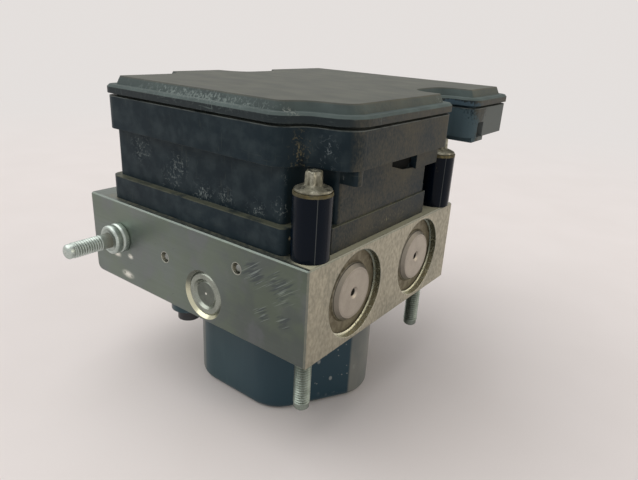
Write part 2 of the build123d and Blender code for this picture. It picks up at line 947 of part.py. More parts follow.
def wall_outline(grow=0.0, rear_room=rear_notch_room):
    """The recessed wall's plan, notched round the two right-hand pillars."""
    front_pillar, back_pillar = pillar_places()[:2]
    room = pillar_radius + notch_room
    front_x = front_pillar[0] - room + grow
    front_y = front_pillar[1] + room - grow
    back_x = back_pillar[0] - room + grow
    back_y = back_pillar[1] - pillar_radius - rear_room + min(grow, 0)
    left, right = wall_left - grow, wall_right + grow
    front, back = wall_front - grow, wall_back + grow
    points = [
        (left, front),
        (front_x, front),
        (front_x, front_y),
        (right, front_y),
        (right, back_y),
        (back_x, back_y),
        (back_x, back),
        (left, back),
    ]
    outer, edge, inner = max(wall_corner + grow, block_edge), notch_edge, notch_corner
    return rounded(points, [outer, edge, inner, edge, edge, inner, edge, outer])


def collar_outline(bends=scallop_radii):
    """The collar's plan: scalloped at each screw, with the connector end past the block."""
    front_right, back_right, front_left, back_left = pillar_places()
    scallop_front = front_right[1] + scallop_depth
    notch_x = back_right[0] - collar_notch_reach
    notch_y = back_right[1] - pillar_radius - collar_notch_room
    left = block_left + collar_left_inset
    bulge = block_left + left_bulge_inset
    inner = wall_left
    tail = block_left + left_tail_inset
    front_step = front_left[1] + 2 * pillar_radius
    notch_low = back_left[1] - pillar_radius - left_slope
    notch_high = back_left[1] + pillar_radius + left_notch_end
    points = [
        (left, collar_front),
        (front_right[0] - scallop_slope[0], collar_front),
        (front_right[0] - scallop_slope[1], scallop_front),
        (collar_right, scallop_front + scallop_rise),
        (collar_right, notch_y),
        (notch_x, notch_y),
        (notch_x, tail_front),
        (collar_right, tail_front),
        (collar_right, unit_back),
        (tail, unit_back),
        (tail, notch_high + left_slope),
        (inner, notch_high),
        (inner, notch_low),
        (bulge, notch_low - left_slope),
        (bulge, front_step + left_step),
        (left, front_step),
    ]
    radii = [collar_corner] * len(points)
    radii[1:4] = bends
    return rounded(points, radii)


def shrink(face, amount):
    """An outline moved inwards."""
    return offset(face, amount=-amount)


def socket_box(grow, low, high):
    """The connector socket's space, grown by a wall on every side."""
    middle_y = tail_front + shroud_front_gap + shroud_wall + socket_width / 2
    half_x = socket_length / 2 + grow
    half_y = socket_width / 2 + grow
    plan = Pos(socket_middle_x, middle_y) * RectangleRounded(2 * half_x, 2 * half_y, socket_corner + grow)
    return slab(plan, block_top + low, block_top + high)


def connector_nose():
    """The narrow block beside the socket, with its latch slot."""
    left = socket_middle_x + socket_length / 2
    front = tail_front + shroud_front_gap
    right = collar_right - block_edge
    z_span = (block_top + mouth_height, block_top + collar_bottom + overrun)
    return brick((left, right), (front, front + nose_width), z_span)


def nose_slot():
    """The slot that the plug's latch runs in."""
    front = tail_front + shroud_front_gap + (nose_width - nose_slot_width) / 2 + nose_slot_shift
    x_span = (collar_right - nose_slot_depth, collar_right + overrun)
    low = block_top + mouth_height
    z_span = (low + nose_slot_sill, low + nose_slot_height)
    return brick(x_span, (front, front + nose_slot_width), z_span)


def socket_keys():
    """The ribs inside the socket that let only the right plug in."""
    middle_y = tail_front + shroud_front_gap + shroud_wall + socket_width / 2
    step = socket_length / (key_count + 1)
    keys = []
    for index in range(key_count):
        x = socket_middle_x - socket_length / 2 + step * (index + 1)
        y = middle_y + socket_width / 2
        z_span = (block_top + mouth_height + key_start, block_top + socket_ceiling)
        keys.append(brick((x - key_width / 2, x + key_width / 2), (y - key_reach, y + overrun), z_span))
    return keys


def pillar(x, y):
    """A screw pillar without its bore."""
    return rod(pillar_radius, block_top, block_top + pillar_height, x, y)


def pillar_web(x, y):
    """The web that ties a pillar to the wall: to the notch's corner on the right, straight in on the left."""
    corner = pillar_radius + notch_room + web_grip
    if x > wall_left:
        target_x = x - corner
        target_y = y - corner if y > 0 else y + corner
    else:
        target_x = wall_left + unit_wall / 2
        target_y = y
    reach = hypot(target_x - x, target_y - y)
    turn = degrees(atan2(target_y - y, target_x - x))
    bar = brick((0, reach), (-web_width / 2, web_width / 2), (0, web_height))
    return Pos(x, y, block_top) * Rot(0, 0, turn) * bar


def housing_details():
    """The hanging tab and the small ribs on the wall under the collar."""
    pillar_y = pillar_places()[0][1]
    start = pillar_y + pillar_radius + notch_room + tab_setback
    top = block_top + collar_bottom + overrun
    x_span = (wall_right - overrun, wall_right + tab_reach)
    tab = brick(x_span, (start, start + tab_width), (top - tab_height, top))
    details = [fillet(tab.edges().filter_by(Axis.Z).sort_by(Axis.X)[-2:], tab_corner)]
    span = wall_back - wall_front
    for index in range(rib_count):
        y = wall_front + span * (index + 1) / (rib_count + 1)
        z_span = (block_top + foot_height - overrun, top)
        y_span = (y - rib_width / 2, y + rib_width / 2)
        details.append(brick((wall_left - rib_reach, wall_left + overrun), y_span, z_span))
    return details


def hatch():
    """The pocket with a sloping sill in the wall, right under the collar."""
    start, end = hatch_ends
    top = collar_bottom
    sill = [(start, hatch_sill[0]), ((start + end) / 2, hatch_sill[1]), (end, hatch_sill[2])]
    outline = make_face(Polyline((start, top), *sill, (end, top), close=True))
    face = Plane.YZ.offset(wall_right - hatch_depth) * outline
    return Pos(0, 0, block_top) * extrude(face, amount=hatch_depth + band_ledge + overrun)


def housing_shell():
    """Foot, recessed wall, collar, shroud and pillars, still solid."""
    top = block_top
    body = slab(wall_outline(foot_ledge), top, top + foot_height)
    body &= brick((block_left, wall_right + overrun), (block_front, block_back), (top, top + foot_height))
    body += slab(wall_outline(), top + foot_height - overrun, top + collar_bottom + overrun)
    band_span = (top + band_bottom, top + collar_bottom + overrun)
    behind_hatch = brick((0, collar_right), (hatch_ends[1], block_back), band_span)
    body += slab(wall_outline(band_ledge, band_room), *band_span) & behind_hatch
    body += slab(collar_outline(), top + collar_bottom, top + collar_top)
    body += socket_box(shroud_wall, mouth_height, collar_bottom + overrun)
    body += connector_nose()
    for detail in housing_details():
        body += detail
    return body


def ecu_housing():
    """The moulded housing of the control unit."""
    top = block_top
    body = housing_shell()
    collar_inner = shrink(collar_outline(), collar_wall)
    front_part = slab(collar_inner, top + shelf_height, top + collar_top)
    front_part &= brick(
        (block_left, collar_right), (block_front, tail_front), (top + shelf_height, top + collar_top)
    )
    tail_floor = socket_ceiling + unit_wall - 1
    body -= front_part
    body -= slab(collar_inner, top + tail_floor, top + collar_top)
    body -= slab(wall_outline(-unit_wall), top + unit_floor, top + shelf_height)
    body -= socket_box(0, mouth_height, socket_ceiling)
    body -= nose_slot()
    for key in socket_keys():
        body += key
    for x, y in pillar_places():
        web = pillar_web(x, y) - slab(wall_outline(-unit_wall), top, top + web_height)
        body += pillar(x, y) + web
    for x, y in pillar_places():
        body -= rod(pillar_bore, top, top + pillar_height, x, y)
    for row_x in (inlet_row_x, outlet_row_x):
        for y in valve_rows:
            body -= rod(valve_radius + seat_fit, top, top + unit_floor, row_x, y)
    body -= rod(terminal_bore, top, top + unit_floor, terminal_x)
    body -= hatch()
    return body - ecu_seal()


def ecu_seal():
    """The gasket between the housing's foot and the block."""
    outer = wall_outline(-unit_seal_inset)
    inner = wall_outline(-unit_seal_inset - unit_seal_width)
    return slab(outer - inner, block_top, block_top + unit_seal_height)


def ecu_lid():
    """The lid: a neck in the groove, a flange with a ledge, a raised plate and a hollow underside."""
    base = block_top + collar_top
    outline = collar_outline(lid_scallop_radii)
    flange = shrink(outline, -lid_overhang)
    seat = base + lid_neck
    ledge = seat + lid_flange
    lid = slab(shrink(outline, neck_inset), base, seat)
    rim = slab(flange, seat, ledge)
    lid += chamfer(rim.edges().group_by(Axis.Z)[-1], lid_edge)
    plate = extrude(shrink(flange, lid_ledge), amount=lid_rise, taper=lid_rise_angle)
    lid += Pos(0, 0, ledge) * plate
    return lid - slab(shrink(outline, collar_wall), base, ledge + lid_rise - lid_roof)


def ecu_bushes():
    """The metal sleeves that carry the screws' load through the pillars."""
    bushes = []
    for x, y in pillar_places():
        top = block_top + pillar_height
        flange = rod(pillar_radius, top, top + bush_flange, x, y)
        body = rod(pillar_bore, block_top, top, x, y) + flange
        bushes.append(body - rod(unit_screw_radius + seat_fit, block_top, top + bush_flange, x, y))
    return together(bushes)


def ecu_screws():
    """The four flanged screws of the control unit."""
    seat = block_top + pillar_height + bush_flange
    points = [
        (0, block_top - unit_screw_depth),
        (unit_screw_radius, block_top - unit_screw_depth),
        (unit_screw_radius, seat),
        (screw_flange_radius, seat),
        (screw_flange_radius, seat + screw_flange_height / 2),
        (screw_head_radius, seat + screw_flange_height),
        (screw_head_radius, seat + screw_flange_height + screw_head_height),
        (0, seat + screw_flange_height + screw_head_height),
    ]
    return together(Pos(x, y, 0) * turned(points) for x, y in pillar_places())


def coil():
    """A bobbin with its winding and two pins; the height is counted from the block's top."""
    low = unit_floor + yoke_wall
    high = low + coil_height
    outer = yoke_radius - yoke_wall - coil_fit
    body = tube(outer, dome_radius + coil_fit, low, high)
    body -= tube(outer, outer - coil_waist, low + coil_flange, high - coil_flange)
    for side in (-1, 1):
        x = side * coil_pin_offset
        x_span = (x - coil_pin / 2, x + coil_pin / 2)
        y_span = (coil_pin_reach - coil_pin / 2, coil_pin_reach + coil_pin / 2)
        body += brick(x_span, y_span, (high, shelf_height))
    return body


def yoke():
    """The steel cup round a coil; the height is counted from the block's top."""
    low = unit_floor
    cup = rod(yoke_radius, low, low + yoke_height)
    cup -= rod(yoke_radius - yoke_wall, low + yoke_wall, low + yoke_height)
    return cup - rod(dome_radius + coil_fit, low, low + yoke_height)


def at_valves(shape):
    """One copy of a part over each valve."""
    places = [(x, y) for x in (inlet_row_x, outlet_row_x) for y in valve_rows]
    return together(Pos(x, y, block_top) * shape for x, y in places)


def circuit_board():
    """The board that rests on the housing's shelf."""
    outline = wall_outline(-unit_wall + board_rest)
    outline &= shrink(collar_outline(), collar_wall + board_end_room)
    return slab(outline, board_bottom, board_top)


def board_part(x, y, size):
    """A boxed part on the board, round its middle."""
    width, depth, height = size
    x_span = (x - width / 2, x + width / 2)
    y_span = (y - depth / 2, y + depth / 2)
    return brick(x_span, y_span, (board_top, board_top + height))


def board_parts():
    """The processor, the valve drivers, the shunts and the round capacitors on the board."""
    parts = [board_part(*processor_place, processor_size)]
    for index in range(driver_count):
        y = wall_front + driver_inset[1] + driver_pitch * index
        parts.append(board_part(wall_right - driver_inset[0], y, driver_size))
    for index in range(shunt_count):
        x = wall_left + shunt_inset[0] + shunt_pitch * index
        parts.append(board_part(x, wall_front + shunt_inset[1], shunt_size))
    for index in range(capacitor_count):
        x = wall_left + capacitor_inset[0] + capacitor_pitch * index
        y = wall_front + capacitor_inset[1]
        parts.append(rod(capacitor_radius, board_top, board_top + capacitor_height, x, y))
    return together(parts)


def connector_pin(x, y):
    """A bent pin from the socket over the housing's shelf down to the board."""
    half = pin_width / 2
    x_span = (x - half, x + half)
    run = block_top + pin_run_height
    land_y = wall_back - unit_wall - pin_land + (y - unit_back) * pin_land_share
    pin = brick(x_span, (y - half, y + half), (block_top + mouth_height + pin_tip, run + pin_width))
    pin += brick(x_span, (land_y - half, y + half), (run, run + pin_width))
    return pin + brick(x_span, (land_y - half, land_y + half), (board_top, run + pin_width))


def connector_pins():
    """Two rows of pins, the second half a pitch aside."""
    middle_y = tail_front + shroud_front_gap + shroud_wall + socket_width / 2
    pins = []
    for row in range(pin_rows):
        y = middle_y + (row - (pin_rows - 1) / 2) * pin_row_spacing
        for index in range(pin_count):
            shift = index - (pin_count - 1) / 2 + (row - (pin_rows - 1) / 2) / pin_rows
            pins.append(connector_pin(socket_middle_x + shift * pin_pitch, y))
    return together(pins)


def pin_holes(body):
    """The holes that the pins pass through in the socket's ceiling."""
    return body - connector_pins()


def main():
    os.makedirs("parts", exist_ok=True)
    save(valve_block(), "valve_block")
    save(passage_balls(), "passage_balls")
    save(side_stud(), "side_stud")
    save(bottom_studs(), "bottom_studs")
    for name, side in sides:
        save(pump_plug(side), f"pump_plug_{name}")
        save(pump_sleeve(side), f"pump_sleeve_{name}")
        save(pump_piston(side), f"pump_piston_{name}")
        save(pump_spring(side), f"pump_spring_{name}")
        save(accumulator_cover(side), f"accumulator_cover_{name}")
        save(accumulator_piston(side), f"accumulator_piston_{name}")
        save(accumulator_seal(side), f"accumulator_seal_{name}")
        save(accumulator_spring(side), f"accumulator_spring_{name}")
    save(eccentric_ring(), "eccentric_ring")
    save(valve_bodies(inlet_row_x), "inlet_valve_bodies")
    save(valve_bodies(outlet_row_x), "outlet_valve_bodies")
    for index, y in enumerate(valve_rows, start=1):
        save(plunger(inlet_row_x, y, rests_low=False), f"inlet_plunger_{index}")
        save(plunger(outlet_row_x, y, rests_low=True), f"outlet_plunger_{index}")
    save(motor_housing(), "motor_housing")
    save(motor_screws(), "motor_screws")
    save(motor_seal_ring(), "motor_seal")
    save(motor_magnets(), "motor_magnets")
    save(motor_shaft(), "motor_shaft")
    save(armature_core(), "armature_core")
    save(armature_windings(), "armature_windings")
    save(commutator(), "commutator")
    save(rear_bush(), "rear_bush")
    save(bearing_outer_ring(), "bearing_outer_ring")
    save(bearing_inner_ring(), "bearing_inner_ring")
    save(bearing_balls(), "bearing_balls")
    save(brush_plate(), "brush_plate")
    save(carbon_brushes(), "carbon_brushes")
    save(brush_springs(), "brush_springs")
    save(motor_terminals(), "motor_terminals")
    save(pin_holes(ecu_housing()), "ecu_housing")
    save(ecu_lid(), "ecu_lid")
    save(ecu_seal(), "ecu_seal")
    save(ecu_bushes(), "ecu_bushes")
    save(ecu_screws(), "ecu_screws")
    save(at_valves(coil()), "valve_coils")
    save(at_valves(yoke()), "coil_yokes")
    save(circuit_board(), "circuit_board")
    save(board_parts(), "board_parts")
    save(connector_pins(), "connector_pins")


main()
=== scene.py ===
"""Dresses the brake module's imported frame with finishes, threads, screws and springs, in a plain studio."""

import logging
import math
from dataclasses import dataclass
from enum import Enum
from functools import reduce
from operator import or_
from typing import Callable, Iterable, Mapping, Sequence

import bpy
from bpy.types import ID, Material, Node, NodeSocket, Object, World
from mathutils import Matrix, Vector

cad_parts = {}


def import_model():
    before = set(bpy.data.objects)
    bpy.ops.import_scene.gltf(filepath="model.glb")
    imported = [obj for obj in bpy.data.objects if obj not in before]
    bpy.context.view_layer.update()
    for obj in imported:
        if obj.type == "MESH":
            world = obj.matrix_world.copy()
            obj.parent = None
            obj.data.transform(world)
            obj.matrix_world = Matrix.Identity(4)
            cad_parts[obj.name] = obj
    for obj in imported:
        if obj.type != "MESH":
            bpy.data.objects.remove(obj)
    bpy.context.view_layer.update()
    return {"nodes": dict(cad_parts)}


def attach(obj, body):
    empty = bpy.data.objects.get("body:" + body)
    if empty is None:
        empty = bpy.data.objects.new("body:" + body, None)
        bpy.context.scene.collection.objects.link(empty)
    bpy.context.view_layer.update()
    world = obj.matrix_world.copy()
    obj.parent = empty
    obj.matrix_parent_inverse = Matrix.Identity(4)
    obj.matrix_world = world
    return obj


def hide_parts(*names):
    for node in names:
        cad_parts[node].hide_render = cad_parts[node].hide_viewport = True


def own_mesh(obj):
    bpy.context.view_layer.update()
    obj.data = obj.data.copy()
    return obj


LOG = logging.getLogger("brake_module")
MILLIMETRE = 0.001
FULL_TURN = 2 * math.pi
HIGHLIGHT_X, HIGHLIGHT_Y = 0.807, 0.59  # the level direction along which the pillars' painted highlight lines and the motor's painted light are laid
Colour = tuple[float, float, float]
Triple = tuple[float, float, float]
Mesh = tuple[list[Vector], list[tuple[int, ...]]]


class Body(str, Enum):
    """The CAD bodies that scene pieces ride on."""

    MODULE = "module"


class Slot(str, Enum):
    """The record's material slots of the nodes that scene pieces stand in for."""

    ZINC = "zinc_steel"
    SPRING = "spring_steel"


class Pattern(Enum):
    """The procedural textures that a finish draws on."""

    CLOUD = "ShaderNodeTexNoise"
    CELLS = "ShaderNodeTexVoronoi"


class Axis(Enum):
    """A direction of the module's frame, as the index of its coordinate."""

    X, Y, Z = range(3)


class Signal:
    """A value in a node tree. Arithmetic on it adds the nodes that work it out."""

    def __init__(self, tree: "Tree", socket: NodeSocket) -> None:
        """Keeps the tree and the socket that carries the value."""
        self.tree, self.socket = tree, socket

    def __add__(self, other: "Value") -> "Signal":
        """Adds a value."""
        return self.tree.math("ADD", self, other)

    def __sub__(self, other: "Value") -> "Signal":
        """Takes a value away."""
        return self.tree.math("SUBTRACT", self, other)

    def __rsub__(self, other: float) -> "Signal":
        """Takes this value away from a number."""
        return self.tree.math("SUBTRACT", other, self)

    def __mul__(self, other: "Value") -> "Signal":
        """Multiplies by a value."""
        return self.tree.math("MULTIPLY", self, other)

    def __or__(self, other: "Value") -> "Signal":
        """Finds the larger of two masks."""
        return self.tree.math("MAXIMUM", self, other)

    def __abs__(self) -> "Signal":
        """Drops the sign."""
        return self.tree.math("ABSOLUTE", self)

    def wave(self, period: float) -> "Signal":
        """Swings between -1 and 1, once in each period."""
        return self.tree.math("SINE", self * (FULL_TURN / period))

    def ramp(self, low: float, high: float, start: float = 0.0, end: float = 1.0) -> "Signal":
        """Spreads the value smoothly between two levels, from start at low to end at high."""
        limits = (high, low, end, start) if low > high else (low, high, start, end)
        return self.tree.out("ShaderNodeMapRange", dict(enumerate((self, *limits))), interpolation_type="SMOOTHSTEP")


Value = Signal | float
Inputs = Mapping[int | str, object]
Coat = tuple[Value, object]


def largest(masks: Iterable[Signal]) -> Signal:
    """Finds the largest of several masks."""
    return reduce(or_, masks)


def across(x: Value, y: Value) -> Value:
    """Measures along the direction that the painted highlight lines face."""
    return x * HIGHLIGHT_X + y * HIGHLIGHT_Y


def shade(colour: Colour, factor: float) -> Colour:
    """Scales a linear colour."""
    return tuple(min(1.0, channel * factor) for channel in colour)


class Tree:
    """A node tree that is filled by signals."""

    def __init__(self, owner: Material | World) -> None:
        """Empties the tree.

        Args:
            owner: The material or world that has it.
        """
        owner.use_nodes = True
        self.owner, self.tree = owner, owner.node_tree
        self.tree.nodes.clear()

    def add(self, kind: str, inputs: Inputs, **settings: object) -> Node:
        """Adds a node.

        Args:
            kind: The node's type.
            inputs: Signals, numbers or tuples for its inputs, by name or index.
            settings: The node's own settings.

        Returns:
            The new node.
        """
        node = self.tree.nodes.new(kind)
        for name, value in settings.items():
            setattr(node, name, value)
        for key, value in inputs.items():
            socket = node.inputs[key]
            if isinstance(value, Signal):
                self.tree.links.new(value.socket, socket)
            else:
                socket.default_value = (*value, 1.0) if socket.type == "RGBA" else value
        return node

    def out(self, kind: str, inputs: Inputs, index: int = 0, **settings: object) -> Signal:
        """Adds a node, with the arguments of add, and gives one of its outputs."""
        return Signal(self, self.add(kind, inputs, **settings).outputs[index])

    def math(self, operation: str, first: Value, second: Value = 0.0) -> Signal:
        """Works out one step of arithmetic."""
        return self.out("ShaderNodeMath", {0: first, 1: second}, operation=operation)

    def vector(self, operation: str, first: Signal, second: object = (0, 0, 0), index: int = 0) -> Signal:
        """Works out one step with vectors."""
        return self.out("ShaderNodeVectorMath", {0: first, 1: second}, index, operation=operation)

    def looked_at(self) -> Signal:
        """Picks the rays that see a thing directly, mirrored or through glass."""
        path = self.add("ShaderNodeLightPath", {}).outputs
        return largest(Signal(self, path[f"Is {ray} Ray"]) for ray in ("Camera", "Glossy", "Transmission"))


class Graph(Tree):
    """A material's tree, with short calls for the patterns that the finishes share.

    Lengths are given in millimetres in the module's frame, where every mesh lies.
    """

    def __init__(self, owner: Material) -> None:
        """Starts an empty tree.

        Args:
            owner: The material.
        """
        super().__init__(owner)
        sources = self.add("ShaderNodeTexCoord", {}).outputs
        self.place = self.vector("MULTIPLY", Signal(self, sources["Object"]), (1 / MILLIMETRE,) * 3)
        self.places = self.split(self.place)
        self.x, self.y, self.z = self.places
        self.facings = self.split(Signal(self, sources["Normal"]))

    def split(self, vector: Signal) -> list[Signal]:
        """Takes a vector apart."""
        outputs = self.add("ShaderNodeSeparateXYZ", {"Vector": vector}).outputs
        return [Signal(self, output) for output in outputs]

    def pattern(
        self,
        kind: Pattern,
        size: float,
        stretch: Triple = (1, 1, 1),
        detail: float = 2.0,
        shift: float = 0.0,
        place: Signal | None = None,
    ) -> Signal:
        """Lays a texture over the surface.

        Args:
            kind: The texture.
            size: Its feature size.
            stretch: How many times longer a feature is along each axis.
            detail: How many finer layers it has.
            shift: An offset in features, so that two layers differ.
            place: The place that it follows, if it isn't the surface's own.

        Returns:
            The texture's value, or the distance to a cell's middle.
        """
        scaled = self.vector("MULTIPLY", place or self.place, tuple(1 / (size * s) for s in stretch))
        moved = self.vector("ADD", scaled, (shift, shift, shift))
        return self.out(kind.value, {"Vector": moved, "Scale": 1.0, "Detail": detail})

    def cloud(self, size: float, stretch: Triple = (1, 1, 1), detail: float = 2.0, shift: float = 0.0) -> Signal:
        """Lays soft noise over the surface, with the arguments of pattern."""
        return self.pattern(Pattern.CLOUD, size, stretch, detail, shift)

    def specks(self, size: float, share: float, shift: float = 0.0, stretch: Triple = (1, 1, 1)) -> Signal:
        """Scatters spots, one in each cell of a size, that fill a share of it."""
        return self.pattern(Pattern.CELLS, size, stretch, 0.0, shift).ramp(share, share * 0.6)

    def scratches(self, size: float, stretch: Triple, rarity: float, shift: float = 0.0) -> Signal:
        """Draws thin broken lines where the noise is above a level."""
        return self.cloud(size, stretch, 1.0, shift).ramp(rarity, rarity + 0.05)

    def strokes(self, length: float, width: float, lean: float, shift: float) -> Signal:
        """Lays soft strokes over the faces that stand upright along X.

        Args:
            length: A stroke's length.
            width: Its width.
            lean: How steeply it rises towards +X, in degrees.
            shift: An offset in strokes.

        Returns:
            The noise that they follow.
        """
        turn = {"Vector": self.place, "Angle": math.radians(lean)}
        turned = self.out("ShaderNodeVectorRotate", turn, rotation_type="Y_AXIS")
        return self.pattern(Pattern.CLOUD, 1.0, (length, width, width), 2.0, shift, turned)

    def curls(self, size: float, width: float) -> Signal:
        """Draws fine curling threads, of a width in shares of the noise's range."""
        return abs(self.cloud(size, detail=3.0) - 0.5).ramp(width, width * 0.3)

    def between(self, axis: Axis, low: float, high: float, soft: float) -> Signal:
        """Picks a slab of space with soft sides."""
        along = self.places[axis.value]
        return along.ramp(low - soft, low + soft) * along.ramp(high + soft, high - soft)

    def region(self, low: Triple, high: Triple, soft: float) -> Signal:
        """Picks a box of space between two corners, with soft sides."""
        x, y, z = (self.between(axis, low[axis.value], high[axis.value], soft) for axis in Axis)
        return x * y * z

    def blob(self, centre: Triple, reach: Triple) -> Signal:
        """Picks a soft egg of space, from 1 in its middle to 0 at its reach along each axis."""
        offset = self.vector("MULTIPLY", self.vector("SUBTRACT", self.place, centre), tuple(1 / r for r in reach))
        return self.vector("LENGTH", offset, index=1).ramp(1.0, 0.0)

    def radius_about(self, axis: Axis, first: float, second: float, mirrored: bool = False) -> Signal:
        """Measures how far a point lies from a line along one axis.

        Args:
            axis: The line's direction.
            first: The line's place along the first of the other two axes.
            second: Its place along the second of them.
            mirrored: Whether it has a twin across the origin of the first of them.

        Returns:
            The distance.
        """
        others = [self.places[other.value] for other in Axis if other is not axis]
        if mirrored:
            others[0] = abs(others[0])
        aside, along = others[0] - first, others[1] - second
        return self.math("SQRT", aside * aside + along * along)

    def turned_to(self, axis: Axis, sign: float, low: float = 0.55, high: float = 0.9) -> Signal:
        """Picks faces turned to one end of an axis, from low to high by how far they are turned."""
        return (self.facings[axis.value] * sign).ramp(low, high)

    def hollows(self) -> Signal:
        """Finds the grooves of a dense mesh."""
        return Signal(self, self.add("ShaderNodeNewGeometry", {}).outputs["Pointiness"]).ramp(0.5, 0.44)

    def edges(self, radius: float) -> Signal:
        """Finds what wear reaches within a radius of sharp edges."""
        own = Signal(self, self.add("ShaderNodeNewGeometry", {}).outputs["Normal"])
        return (1.0 - self.vector("DOT_PRODUCT", self.rounding(radius), own, 1)).ramp(0.02, 0.25)

    def rounding(self, radius: float) -> Signal:
        """Rounds sharp edges in the shading, as a normal."""
        return self.out("ShaderNodeBevel", {"Radius": radius * MILLIMETRE}, samples=4)

    def mix(self, share: Value, first: object, second: object) -> Signal:
        """Blends two colours, by how much of the second shows."""
        return self.out("ShaderNodeMix", {0: share, 6: first, 7: second}, 2, data_type="RGBA")

    def layered(self, base: object, *coats: Coat) -> object:
        """Lays coats over a base colour, each a mask and its colour."""
        return reduce(lambda under, coat: self.mix(coat[0], under, coat[1]), coats, base)

    def relief(self, height: Value, depth: float, normal: Signal | None = None) -> Signal:
        """Raises a pattern by a depth, over another normal if one is given."""
        under = {"Normal": normal} if normal else {}
        return self.out("ShaderNodeBump", {"Height": height, "Distance": depth * MILLIMETRE, **under})

    def principled(self, **inputs: object) -> Signal:
        """Makes the shader from its inputs by name, with underscores for spaces."""
        return self.out("ShaderNodeBsdfPrincipled", {name.replace("_", " "): value for name, value in inputs.items()})


@dataclass(frozen=True)
class Finish:
    """A procedural material."""

    name: str

    def shader(self, graph: Graph) -> Signal:
        """Works out the shader in the material's tree."""
        raise NotImplementedError

    def build(self) -> Material:
        """Makes the material.

        Returns:
            The finished material.
        """
        graph = Graph(bpy.data.materials.new(self.name))
        graph.add("ShaderNodeOutputMaterial", {"Surface": self.shader(graph)})
        return graph.owner


@dataclass(frozen=True)
class DirtAndShadingPatch:
    """A place where dust or dirt has gathered, with specks and sometimes curling threads; a few patches are painted
    highlights and painted shade instead.
    """

    centre: Triple
    reach: Triple
    amount: float  # about 0.4 for a few specks, over 1 for a full cover
    tint: Colour
    threads: float = 0.0

    def mask(self, graph: Graph, grains: Signal, curls: Signal) -> Signal:
        """Lays the patch.

        Args:
            graph: The material's tree.
            grains: The pattern that its specks follow.
            curls: The mask of the threads.

        Returns:
            A mask that is 1 where the patch lies.
        """
        near = graph.blob(self.centre, self.reach)
        lies = (grains + near * self.amount).ramp(0.86, 1.12)
        return lies | near * curls * self.threads if self.threads else lies


@dataclass(frozen=True)
class Band:
    """A thin pale line along an edge, between two heights; along the collar's top edge it is a painted highlight."""

    low: float
    high: float
    amount: float
    tint: Colour


@dataclass(frozen=True)
class Gloss:
    """A polished upright pillar with a thin painted highlight line down its side."""

    place: tuple[float, float]
    radius: float
    top: float  # where the polish ends
    seam: float = 1.6  # how far the painted highlight line lies from the axis

    def mask(self, graph: Graph) -> Signal:
        """Covers the pillar."""
        near = graph.radius_about(Axis.Z, *self.place).ramp(self.radius + 0.05, self.radius - 0.05)
        return near * graph.z.ramp(self.top + 0.1, self.top)

    def line(self, graph: Graph) -> Signal:
        """Draws the painted highlight line."""
        return abs(across(graph.x, graph.y) - (across(*self.place) + self.seam)).ramp(0.16, 0.05)


